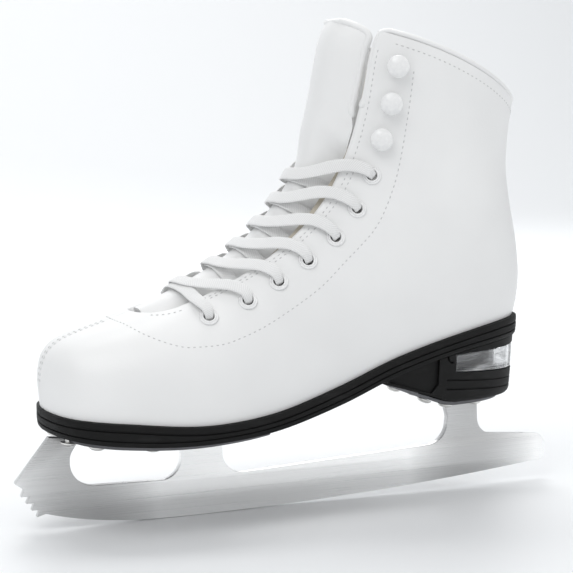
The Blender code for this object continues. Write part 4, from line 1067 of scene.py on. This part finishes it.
def build_hardware():
    """Two rows of eyelets with hooks above them, each named after its side and counted from the toe."""
    eyelet = local_mesh("eyelet", [turned(EYELET_PROFILE)])
    hook = local_mesh("hook", [turned(HOOK_BASE), turned(HOOK_CAP), hook_neck()])
    for side in (NEAR, FAR):
        matrices = [row_matrix(t, side) for t in row_places(side)]
        for name, cad_name, mesh, rows in (("eyelet_ring", "eyelet", eyelet, matrices[:EYELET_ROWS]),
                                           ("lace_hook", "hook", hook, matrices[EYELET_ROWS:])):
            for number, matrix in enumerate(rows, 1):
                obj = in_scene(f"{name}_{SIDES[side]}_{number}", mesh)
                obj.matrix_world = matrix
                finished(obj, "white_enamel", sharp=50, replaces=[f"{cad_name}_{SIDES[side]}_{number}"])


HOLE_RADIUS = 3.1


def eyelet_cutter(side):
    """Round holes through leather and lining, one for each eyelet."""
    parts = []
    for t in row_places(side)[:EYELET_ROWS]:
        s = place_at_width(t, row_width(t), side)
        normal = skin_normal(t, s, side)
        line = skin(t, s, side) + normal * np.array([[3.0], [-8.0]])
        across = np.cross(normal, [[0.1, 0.9, 0.2]] * 2)
        parts.append(loft(sweep(line, across, HOLE_RADIUS, HOLE_RADIUS, circle(28))))
    return helper("eyelet_holes", *joined(parts))


# How the lace goes down through an eyelet, from its outer end: distance away from the throat, height over the
# leather, width, thickness, and how its flat side turns from the surface (1, 0) to the throat (0, 1).
EYELET_PASS = [(-3.4, 2.9, 5.4, 1.2, (1, 0.05)), (-1.5, 2.75, 4.6, 1.4, (1, 0.35)),
               (0.2, 1.2, 3.9, 1.6, (0.6, 1)), (0.2, -1.6, 3.4, 1.6, (0, 1)), (0.0, -5.2, 3.2, 1.5, (0, 1)),
               (-0.9, -6.7, 3.6, 1.4, (-0.7, 1))]
# A strand from inside one eyelet to the outside of the next: how far across the throat (1 at an eyelet), and
# its depth for the strand that lies under the other one and for the one that lies over it.
STRAND = [(-0.82, 6.2, 6.2), (-0.64, 5.95, 5.95), (-0.48, 4.6, 2.8), (-0.38, 2.6, -0.8), (-0.3, 0.6, -2.9),
          (-0.15, -0.9, -2.9), (0.0, -1.3, -2.9), (0.3, -1.5, -2.8), (0.48, -1.8, -2.3), (0.66, -2.5, -2.5),
          (0.8, -3.0, -3.0)]
# How much of the way from the crossing to its row a strand has gone, at shares of the way across.
SAG = [(0.0, 0.0), (0.15, 0.02), (0.3, 0.09), (0.5, 0.32), (0.66, 0.6), (0.8, 0.84), (1.0, 1.0)]
CROSSING = 0.14       # where strands cross, as a share of the way from the lower row to the next
LACE_WIDTH = 6.4
LACE_THICK = 1.0
TAIL_WIDTH = 5.0
LACE_CLEAR = LACE_THICK / 2 + GAP + 0.5
HALF_SECTION = [(-1, 0), (-0.95, 0.7), (-0.8, 0.95), (-0.4, 1), (0, 1), (0.4, 1), (0.8, 0.95), (0.95, 0.7)]
LACE_SECTION = HALF_SECTION + [(-x, -y) for x, y in HALF_SECTION]


def eyelet_pass(row_t, side):
    """The lace's way in through an eyelet, as (point, normal, width, thickness) rows."""
    matrix = np.array(row_matrix(row_t, side))
    origin = matrix[:3, 3] / MM + (BLADE_MIDDLE, 0, 0)
    away, normal = matrix[:3, 0], matrix[:3, 2]
    return [(*(origin + away * along + normal * height), *(normal * turn[0] + away * turn[1]), width, thick)
            for along, height, width, thick, turn in EYELET_PASS]


def lace_point(t, row_t, u, depth, side):
    """A point of a strand, which never dips into the tongue."""
    y = abs(u) * row_width(row_t)
    s = float(place_at_width(t, y, side))
    depth = min(depth, float(tongue_depth(t, y)) - LACE_CLEAR)
    width = LACE_WIDTH * (1 if abs(u) < 0.7 else 0.93)
    return (*skin(t, s, side, depth), *skin_normal(t, s, side), width, LACE_THICK)


def lace_run(first_side, rows, feet):
    """One end of the lace, from the first eyelet's outside up to the inside of the last eyelet."""
    run = eyelet_pass(rows[first_side][0], first_side)
    for row in range(EYELET_ROWS - 1):
        start_side = first_side * (-1) ** row
        middle_t = feet[row] + (feet[row + 1] - feet[row]) * CROSSING
        for u, under, over in STRAND:
            side = start_side if u < 0 else -start_side
            row_t = rows[side][row if u < 0 else row + 1]
            t = middle_t + (row_t - middle_t) * np.interp(abs(u), *np.transpose(SAG))
            run.append(lace_point(t, row_t, u, over if start_side == FAR else under, side))
        run += eyelet_pass(rows[-start_side][row + 1], -start_side)
    return run


def lace_bar(rows, foot_t):
    """The straight stretch across the first row, from the outer side to the inner side."""
    bar = []
    for u in (0.8, 0.66, 0.4, 0.2, 0.0, -0.2, -0.4, -0.66, -0.8):
        side = NEAR if u > 0 else FAR
        row_t = rows[side][0]
        t = foot_t + (row_t - foot_t) * u * u
        bar.append(lace_point(t, row_t, u, -2.9 if abs(u) > 0.7 else -1.6, side))
    return bar


# The lace's ends inside the boot: places (t, s) down the lining's side, then (x, y) along the footbed.
TAIL_WALL = [(0.705, 0.8), (0.685, 0.7), (0.665, 0.58), (0.65, 0.46), (0.64, 0.37)]
TAIL_FLOOR = [(38, 20.5), (20, 20), (0, 21), (-20, 23), (-40, 24.5)]


def lace_tail(side):
    """Down the inside of the boot from the last eyelet, and along the footbed."""
    tail = []
    for t, s in TAIL_WALL:
        point = skin(t, s, side, LINING[1] + LACE_CLEAR)
        tail.append((*point, *skin_normal(t, s, side), TAIL_WIDTH, LACE_THICK))
    for x, y in TAIL_FLOOR:
        rest = sole_top(x) + FOOTBED[1] + GAP + LACE_THICK
        tail.append((x, side * y, rest, 0.1, 0, 1, TAIL_WIDTH, LACE_THICK))
    return tail


def row_feet(row_t):
    """Places on the instep line that are nearest to the near side's eyelets."""
    t = np.linspace(0.15, 0.9, 1500)
    front = rib(t)
    feet = []
    for eyelet in skin_base(row_t, place_at_width(row_t, row_width(row_t), NEAR), NEAR):
        feet.append(float(t[np.argmin(np.hypot(front[0] - eyelet[0], front[1] - eyelet[2]))]))
    return feet


def build_lace():
    """One flat lace: a bar across the first row, then both ends crossing up to the last row, tails inside."""
    rows = {side: row_places(side)[:EYELET_ROWS] for side in (NEAR, FAR)}
    feet = row_feet(rows[NEAR])
    swap = (-1) ** (EYELET_ROWS - 1)
    near_end = lace_run(NEAR, rows, feet) + lace_tail(NEAR * swap)
    far_end = lace_run(FAR, rows, feet) + lace_tail(FAR * swap)
    route = smooth_route(near_end[::-1] + lace_bar(rows, feet[0]) + far_end, 0.75)
    rings = sweep(route[:, :3], unit(route[:, 3:6]), route[:, 6] / 2, route[:, 7] / 2, LACE_SECTION)
    lace = piece("woven_lace", *loft(rings), "lace_cotton", sharp=70, replaces=["lace"])
    across = np.array([x for x, _ in LACE_SECTION]) * LACE_WIDTH / 2
    along = lengths_along(route)
    uv = lace.data.uv_layers.new(name="UVMap")
    for loop in lace.data.loops:
        ring, place = divmod(loop.vertex_index, len(LACE_SECTION))
        uv.data[loop.index].uv = (along[ring], across[place])
    for side in (NEAR, FAR):
        build_aglet(side)


def build_aglet(side):
    """The stiff end of the lace, which lies on the footbed."""
    radius, length = AGLET
    (last_x, last_y), start = TAIL_FLOOR[-1], TAIL_FLOOR[-1][0] - GAP
    line = np.array([(x, side * (last_y + (last_x - x) * 0.06), sole_top(x) + FOOTBED[1] + 2 * GAP + radius)
                     for x in np.linspace(start, start - length, 24)])
    shares = round_ends(np.ones(len(line)), 4)
    rings = sweep(line, [(0, 0, 1)] * len(line), radius * shares, radius * shares, circle(16))
    piece(f"lace_end_{SIDES[side]}", *loft(rings), "aglet_plastic", replaces=[f"aglet_{SIDES[side]}"])


# ---------------------------------------------------------------- sole and heel
# The sole's side from its top down: distance out from its edge, and height over its top or its underside.
SOLE_EDGE = WELT + 0.25
SOLE_UPPER_SIDE = [(-1.6, 0.0), (-0.6, 0.0), (-0.1, -0.25), (0.1, -0.7), (0.1, -2.9), (-0.1, -3.15),
                   (-0.7, -3.25), (-0.7, -3.65), (0.05, -3.95), (0.1, -4.2)]
SOLE_LOWER_SIDE = [(0.05, 3.3), (-0.15, 3.05), (-0.75, 2.95), (-0.75, 2.6), (-0.1, 2.3), (-0.1, 2.0),
                   (-0.4, 0.7), (-0.75, 0.2), (-1.5, 0.0)]


def spread_out(line, count):
    """Points along the line, closer together towards both ends."""
    u = np.linspace(0, 1, count)
    share = 0.45 * u + 0.55 * (1 - np.cos(math.pi * u)) / 2
    along = lengths_along(line)
    return read_along(line, along, share * along[-1])


def sole_outline(offset, count=150):
    """The sole's outline on both sides, from toe to heel, at an offset from the boot's lower edge."""
    t = HEEL_AT * np.linspace(0, 1, 900)
    s = place_at_sole(t)
    s[-1] = 0.0
    lines = []
    for side in (NEAR, FAR):
        line = spread_out(skin_base(t, s, side)[:, :2], count)
        tangent = line[2:] - line[:-2]
        tangent = unit(np.concatenate([[(0, side)], tangent, [(0, -side)]]))
        normal = np.stack([tangent[:, 1], -tangent[:, 0]], 1) * -side
        toe = np.clip(1 - (line[:, :1] - line[0, 0]) / TOE_WELT[1], 0, 1) ** 2
        lines.append(line + normal * (offset - TOE_WELT[0] * toe))
    near, far = lines
    near[0] = far[0] = (near[0] + far[0]) / 2
    near[-1] = far[-1] = (near[-1] + far[-1]) / 2
    return near, far


def prism(layers, start_x=None, end_x=None, count=150):
    """A loft through layers of (outline offset, height function), top first, from one x to another."""
    rings = []
    for offset, height in layers:
        lines = []
        for line in sole_outline(offset, count):
            x = line[:, 0]
            first = x[0] if start_x is None else start_x
            last = x[-1] if end_x is None else end_x
            between_ends = line[(x > first + 0.05) & (x < last - 0.05)]
            ends = [[(end, np.interp(end, x, line[:, 1]))] for end in (first, last)]
            lines.append(spread_out(np.concatenate([ends[0], between_ends, ends[1]]), count))
        outline = np.concatenate([lines[0], lines[1][::-1]])
        rings.append(np.column_stack([outline, height(outline[:, 0])]))
    return strip_capped(rings, count)


def strip_capped(rings, count):
    """Faces through the rings, closed at top and bottom by strips across the outline."""
    points, faces = loft(rings, caps=False)
    for start in (0, (len(rings) - 1) * 2 * count):
        for i in range(count - 1):
            other = 2 * count - 1
            faces.append((start + i, start + i + 1, start + other - i - 1, start + other - i))
    return points, faces


def moved(height, rise):
    return lambda x: height(x) + rise


def layers_at(offset, steps, height):
    """Layers of a prism from (how far past the offset, height over a height function) pairs."""
    return [(offset + out, moved(height, rise)) for out, rise in steps]


def prism_piece(name, cad_name, shape, finish, sharp=35):
    return piece(name, *shape, finish, sharp=sharp, replaces=[cad_name], weld=0.001)


def build_sole():
    """The moulded sole: a lip at the top, and two grooves that part its side into three bands."""
    layers = layers_at(SOLE_EDGE, SOLE_UPPER_SIDE, sole_top)
    layers += layers_at(SOLE_EDGE, SOLE_LOWER_SIDE, sole_under)
    prism_piece("moulded_sole", "outsole", prism(layers, count=220), "black_rubber")
    for name, cad_name, offset, (under, top), finish in (
            ("insole_sheet", "insole_board", -3.5, INSOLE, "insole_board"),
            ("loose_footbed", "footbed", -7.6, FOOTBED, "lining_fabric")):
        steps = [(-0.8, top), (-0.25, top - 0.25), (0, top - 0.8), (0, under)]
        prism_piece(name, cad_name, prism(layers_at(offset, steps, sole_top), count=120), finish)


GROOVE = [(0.6, 0.55), (-0.75, 0.4), (-0.75, -0.2), (0.4, -0.75)]   # out past the surface, up from its middle
GROOVE_START = 65


def insert_top(x):
    return 74.7 + (x - INSERT_START) * 0.04


def insert_under(x):
    return 66.3 - (x - INSERT_START) * 0.057


def upper_groove(x):
    return 62.7 - (x - GROOVE_START) * 0.08


def lower_groove(x):
    return 58.1 - (x - GROOVE_START) * 0.0725


def wing_foot(x):
    """Lower end of the hollow in the heel's wing, which rises to the back."""
    return np.maximum(heel_under(x) + 1.3, 56.1 + (x - 55.9) * 1.07)


def side_cutter(name, core_layers, start_x, end_x=None):
    """Cuts a band round the outline back to a core, given by the core's layers from the top down."""
    (top_offset, top), (bottom_offset, bottom) = core_layers[0], core_layers[-1]
    outer = helper(f"{name}_outer", *prism([(WELT + 3, top), (WELT + 3, bottom)], start_x, end_x, 90))
    layers = [(top_offset, moved(top, 4)), *core_layers, (bottom_offset, moved(bottom, -4))]
    core_end = None if end_x is None else end_x + 6
    core = helper(f"{name}_core", *prism(layers, start_x - 6, core_end, 90))
    cut(outer, core)
    drop(core)
    return outer


def groove_cutter(name, middle, surface, start_x):
    """A groove with a square upper lip and a slanted lower one."""
    return side_cutter(name, layers_at(surface, GROOVE, middle), start_x)


def build_heel():
    """The heel block with its grooves and hollowed wings, and the clear insert let in round its back."""
    def share(part):
        return lambda x: mix(sole_under(x) - GAP, heel_under(x), part)

    def fixed(rise):
        return lambda x: np.maximum(heel_under(x), HEEL_BOTTOM + rise + 0 * x)

    layers = [(WELT - 1.3, share(0)), (WELT - 1.9, share(0.42)), (WELT - 2.9, fixed(2.6)),
              (WELT - 3.5, fixed(0.9)), (WELT - 4.1, fixed(0.25)), (WELT - 4.9, fixed(0))]
    block = prism_piece("heel_body", "heel_block", prism(layers, start_x=31), "black_rubber")
    recess = [(INSERT_INNER, moved(insert_top, GAP)), (INSERT_INNER, moved(insert_under, -GAP))]
    wing = [(WELT - 2.5, moved(sole_under, 2)), (WELT - 3.9, wing_foot)]
    for cutter in (
            side_cutter("insert", recess, INSERT_START), side_cutter("wing", wing, 32.5, 60.2),
            groove_cutter("upper_groove", upper_groove, WELT - 2.2, GROOVE_START),
            groove_cutter("lower_groove", lower_groove, WELT - 2.6, GROOVE_START),
            hook_groove(NEAR), hook_groove(FAR)):
        cut(block, cutter)
        drop(cutter)
    finished(block, "black_rubber", sharp=35, replaces=["heel_block"])
    build_insert()


HOOK_GROOVE = [(65.2, 90.0), (65.2, 80.0), (65.2, 76.0), (65.3, 73.4), (65.9, 72.1), (67.2, 71.4),
               (68.4, 71.3)]


def hook_groove(side):
    """The moulded line that runs down in front of the insert and hooks round its lower corner."""
    edge = sole_outline(WELT - 1.75)[0 if side == NEAR else 1]
    line = smooth_route([(x, float(np.interp(x, edge[:, 0], edge[:, 1])), z) for x, z in HOOK_GROOVE], 0.5)
    normals = np.tile([[0.0, side, 0.0]], (len(line), 1))
    return helper("hook_groove", *loft(sweep(line, normals, 0.55, 0.9, circle(10))))


# The insert's side from its top down: how far out from the welt, and height over its top or its underside.
INSERT_UPPER_SIDE = [(-2.4, 0), (-1.95, -0.25), (-1.85, -0.8)]
INSERT_LOWER_SIDE = [(-2.1, 4.5), (-2.3, 1.9), (-2.75, 1.6), (-2.75, 1.3), (-2.35, 1.0), (-2.45, 0.3),
                     (-2.9, 0)]


def build_insert():
    """The clear insert: a ribbed band round the back of the heel, hollow inside."""
    layers = layers_at(WELT, INSERT_UPPER_SIDE, insert_top)
    layers += layers_at(WELT, INSERT_LOWER_SIDE, insert_under)
    band = prism(layers, start_x=INSERT_START + 2 * GAP, count=110)
    insert = prism_piece("clear_insert", "heel_insert", band, "clear_plastic", sharp=40)
    inner = [(INSERT_INNER + GAP, moved(insert_top, 9)), (INSERT_INNER + GAP, moved(insert_under, -7))]
    hollow = helper("hollow", *prism(inner, start_x=60, count=60))
    cut(insert, hollow)
    drop(hollow)
    finished(insert, "clear_plastic", sharp=35, replaces=["heel_insert"])


def front_plate_under(x):
    return sole_under(x) - GAP - PLATE_THICK


def heel_plate_under(x):
    return heel_under(x) - GAP - PLATE_THICK


FRONT_SCREWS = [(-122, 12), (-111, 21), (-86, 26.5), (-48, 26)]   # x, and distance from the middle
HEEL_SCREWS = [(60, 17), (72, 17), (90, 14)]
SCREW_PROFILE = [(0, 11.0), (0.6, 10.9), (1.5, 9.8), (1.5, 0.0), (3.55, 0.0), (3.75, -0.2), (3.7, -0.6),
                 (3.3, -1.15), (2.5, -1.6), (1.3, -1.92), (0, -2.0)]
SCREW_SLOT = (3.6, 0.8, 1.0)   # length, width and depth of the cross in a screw's head
SCREW_TURN = 37                # degrees from one screw's cross to the next one's


def build_plates():
    edge = [(-0.3, PLATE_THICK), (0, PLATE_THICK - 0.3), (0, 0.3), (-0.3, 0)]
    for name, cad_name, offset, under, start_x, end_x in (
            ("sole_plate", "front_mount_plate", WELT - 6.5, front_plate_under, None, -31),
            ("heel_plate", "heel_mount_plate", WELT - 8.5, heel_plate_under, 52, 104)):
        plate = prism(layers_at(offset, edge, under), start_x, end_x, 110)
        prism_piece(name, cad_name, plate, "dark_steel", sharp=30)


def build_screws():
    """A screw on each side at every place, its slot turned to an angle of its own."""
    screw = screw_mesh()
    for prefix, rows, under in (("front_screw", FRONT_SCREWS, front_plate_under),
                                ("heel_screw", HEEL_SCREWS, heel_plate_under)):
        places_both = [(x, side * y) for x, y in rows for side in (NEAR, FAR)]
        for number, (x, y) in enumerate(places_both, 1):
            slope = float(under(x + 1) - under(x - 1)) / 2
            seat = facing_matrix((x, y, float(under(x)) - GAP), (-slope, 0, 1), (1, 0, 0))
            obj = in_scene(f"{prefix}_head_{number}", screw)
            obj.matrix_world = seat @ Matrix.Rotation(math.radians(SCREW_TURN * number), 4, "Z")
            finished(obj, "nickel", sharp=45, replaces=[f"{prefix}_{number}"])


def screw_mesh():
    """A domed wood screw with a cross slot."""
    obj = in_scene("screw", local_mesh("screw", [turned(SCREW_PROFILE, 40)]))
    length, width, depth = SCREW_SLOT
    for size in ((length, width), (width, length)):
        bm = bmesh.new()
        bmesh.ops.create_cube(bm, size=1)
        bmesh.ops.scale(bm, vec=(size[0] * MM, size[1] * MM, 2 * depth * MM), verts=bm.verts)
        bmesh.ops.translate(bm, vec=(0, 0, SCREW_PROFILE[-1][1] * MM), verts=bm.verts)
        mesh = bpy.data.meshes.new("slot")
        bm.to_mesh(mesh)
        bm.free()
        slot = in_scene("slot", mesh)
        cut(obj, slot)
        drop(slot)
    mesh = obj.data
    drop(obj)
    return mesh


# ---------------------------------------------------------------- blade
def rounded(corners, arc_step=5):
    """A polyline through (x, z, radius) corners, each rounded by an arc."""
    line = []
    count = len(corners)
    for i, (x, z, radius) in enumerate(corners):
        here = Vector((x, z))
        if not radius:
            line.append(here)
            continue
        back = (Vector(corners[i - 1][:2]) - here).normalized()
        ahead = (Vector(corners[(i + 1) % count][:2]) - here).normalized()
        half = back.angle(ahead) / 2
        reach = radius / math.tan(half)
        centre = here + (back + ahead).normalized() * (radius / math.sin(half))
        start, end = here + back * reach - centre, here + ahead * reach - centre
        turn = math.copysign(math.pi - 2 * half, start.x * end.y - start.y * end.x)
        steps = max(3, round(math.degrees(abs(turn)) / arc_step))
        line += [centre + Matrix.Rotation(turn * k / steps, 2) @ start for k in range(steps + 1)]
    return line


ROCKER_LOW_X = -60.0           # where the blade touches the ice
ROCKER_RADIUS = 1830.0
SPIN_START_X = -130.5          # front end of the running edge
SPIN_RISE = 8.0                # how high it has risen there
PICK_TIP = (-145.0, 23.4)      # front corner, over the toe picks
TOOTH_FIRST = (-142.0, 17.0)   # tip of the first tooth
TOOTH_STEP = (2.45, -3.4)      # from each tip to the next
TOOTH_NOTCH = (1.4, 3.4)       # from each tip up to the notch before it
TEETH = 4
EDGE_BEVEL = 0.3


def rocker(x):
    """Height of the blade's running edge: a long rocker, and a quicker rise under the ball of the foot."""
    reach = abs(x - ROCKER_LOW_X)
    if x > ROCKER_LOW_X:
        return reach**2 / (2 * ROCKER_RADIUS)
    return SPIN_RISE * (reach / (ROCKER_LOW_X - SPIN_START_X)) ** 2.6


def blade_top(x):
    return float(front_plate_under(x)) - 1.4 * GAP


def blade_outline():
    rear_top = HEEL_BOTTOM - PLATE_THICK - 2 * GAP
    teeth = [(*PICK_TIP, 0.6)]
    for k in range(TEETH):
        tip = (TOOTH_FIRST[0] + k * TOOTH_STEP[0], TOOTH_FIRST[1] + k * TOOTH_STEP[1])
        teeth += [(tip[0] + TOOTH_NOTCH[0], tip[1] + TOOTH_NOTCH[1], 0), (*tip, 0)]
    edge = [(x, rocker(x), 0) for x in np.linspace(SPIN_START_X, ROCKER_LOW_X, 24)]
    edge += [(x, rocker(x), 0) for x in np.linspace(ROCKER_LOW_X, 139.0, 50)[1:]]
    tail = [(140.4, rocker(139) + 2, 1.2), (140.2, 24.4, 7), (99.6, 27.6, 9), (98.8, rear_top, 0)]
    rear_window = [(79.0, rear_top, 0), (81.8, 38, 8), (80.6, 24.2, 11), (-42.4, 18.4, 11)]
    middle_stanchion = [(x, blade_top(x), 0) for x in (-42.4, -53.0, -63.6)]
    front_window = [(-63.6, 18.6, 10), (-119.0, 19.6, 12), (-118.6, 35, 8)]
    front_stanchion = [(x, blade_top(x), 0) for x in (-113.6, -121.0, -128.6)]
    return rounded(teeth + edge + tail + rear_window + middle_stanchion + front_window + front_stanchion)


def build_blade():
    """The blade, with fine bevels that catch the light along its edges."""
    data = bpy.data.curves.new("blade", "CURVE")
    data.dimensions = "2D"
    data.fill_mode = "BOTH"
    data.extrude = (BLADE_THICK / 2 - EDGE_BEVEL) * MM
    data.bevel_depth = EDGE_BEVEL * MM
    data.bevel_resolution = 2
    data.offset = -EDGE_BEVEL * MM
    spline = data.splines.new("POLY")
    outline = blade_outline()
    spline.points.add(len(outline) - 1)
    for slot, point in zip(spline.points, outline):
        slot.co = ((point.x - BLADE_MIDDLE) * MM, point.y * MM, 0, 1)
    spline.use_cyclic_u = True
    curve = in_scene("blade_curve", data)
    bpy.context.view_layer.update()
    mesh = bpy.data.meshes.new_from_object(curve.evaluated_get(bpy.context.evaluated_depsgraph_get()))
    mesh.transform(Matrix.Rotation(math.radians(90), 4, "X"))
    drop(curve)
    bm = bmesh.new()
    bm.from_mesh(mesh)
    bmesh.ops.remove_doubles(bm, verts=bm.verts, dist=1e-6)
    bmesh.ops.recalc_face_normals(bm, faces=bm.faces)
    bm.to_mesh(mesh)
    bm.free()
    finished(in_scene("steel_blade", mesh), "brushed_steel", sharp=25, replaces=["blade_runner"])


# ---------------------------------------------------------------- camera, floor and light
CAMERA_AT = (-0.3099, -0.7172, 0.2000)
CAMERA_DIRECTION = (0.3881, 0.9143, -0.1158)
LENS = 100.5
FLOOR_END = 1.6       # where the flat floor ends behind the skate
FLOOR_CURVE = 1.2     # radius of its turn up into the backdrop
FLOOR_DROP = 0.0002   # how far it lies under the blade
LIGHTS = [  # name, place, what it points at, size in metres, power in watts
    ("key", (-0.9, -0.7, 1.5), (0, 0, 0.1), 1.2, 9),
    ("fill", (0.9, -1.2, 0.7), (0, 0, 0.1), 1.4, 3.5),
    ("back", (0.5, 1.2, 1.1), (0, 0, 0.12), 1.0, 6),
    ("wall", (0.2, 0.9, 2.4), (0.6, 2.6, 0.6), 1.6, 30),
]


def build_camera():
    data = bpy.data.cameras.new("camera")
    data.lens = LENS
    data.sensor_width = 36
    camera = in_scene("camera", data)
    camera.location = CAMERA_AT
    camera.rotation_euler = Vector(CAMERA_DIRECTION).to_track_quat("-Z", "Y").to_euler()
    bpy.context.scene.camera = camera


def area_light(name, location, target, size, power):
    data = bpy.data.lights.new(name, "AREA")
    data.shape = "DISK"
    data.size = size
    data.energy = power
    light = in_scene(name, data)
    light.location = location
    light.rotation_euler = (Vector(target) - Vector(location)).to_track_quat("-Z", "Y").to_euler()


def build_floor():
    """A pale floor that curves up into a backdrop."""
    far, radius = FLOOR_END, FLOOR_CURVE
    profile = [(-6.0, 0.0), (far, 0.0)]
    for angle in np.linspace(0.05, math.pi / 2, 24):
        profile.append((far + radius * math.sin(angle), radius * (1 - math.cos(angle))))
    profile.append((far + radius, 6.0))
    points = [(x, y, z - FLOOR_DROP) for y, z in profile for x in (-8.0, 8.0)]
    faces = [(2 * k, 2 * k + 1, 2 * k + 3, 2 * k + 2) for k in range(len(profile) - 1)]
    mesh = bpy.data.meshes.new("floor")
    mesh.from_pydata(points, [], faces)
    mesh.shade_smooth()
    mesh.materials.append(new_look("floor", (0.86, 0.87, 0.88), 0.5))
    in_scene("floor", mesh)


def build_light():
    """A pale surround and four soft lamps, the last of them on the backdrop."""
    world = bpy.data.worlds.new("studio")
    bpy.context.scene.world = world
    world.use_nodes = True
    background = world.node_tree.nodes["Background"]
    background.inputs["Color"].default_value = (0.95, 0.965, 0.98, 1)
    background.inputs["Strength"].default_value = 0.64
    for name, location, target, size, power in LIGHTS:
        area_light(name, location, target, size, power)
    bpy.context.scene.view_settings.view_transform = "Standard"


# ---------------------------------------------------------------- assembly
def clear_scene():
    for obj in list(bpy.data.objects):
        drop(obj)


def dress_frame():
    """The frame's own meshes, of which only the hidden stiffeners are kept."""
    for obj in frame["nodes"].values():
        obj.data.materials.clear()
        obj.data.materials.append(looks["stiffener"])


def build_boot():
    """Leather and lining, with the eyelets' holes through both."""
    leather = {side: build_upper(side) for side in (NEAR, FAR)}
    lining = build_lining()
    for side in (NEAR, FAR):
        holes = eyelet_cutter(side)
        cut(leather[side], holes)
        cut(lining, holes)
        drop(holes)
        finished(leather[side], "white_leather", sharp=60)
    finished(lining, "lining_fabric", sharp=60)


clear_scene()
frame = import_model()
looks = make_looks()
build_camera()
dress_frame()
build_boot()
build_backstay()
build_collar_binding()
build_stitches()
build_tongue()
build_hardware()
build_lace()
build_sole()
build_heel()
build_plates()
build_screws()
build_blade()
build_floor()
build_light()
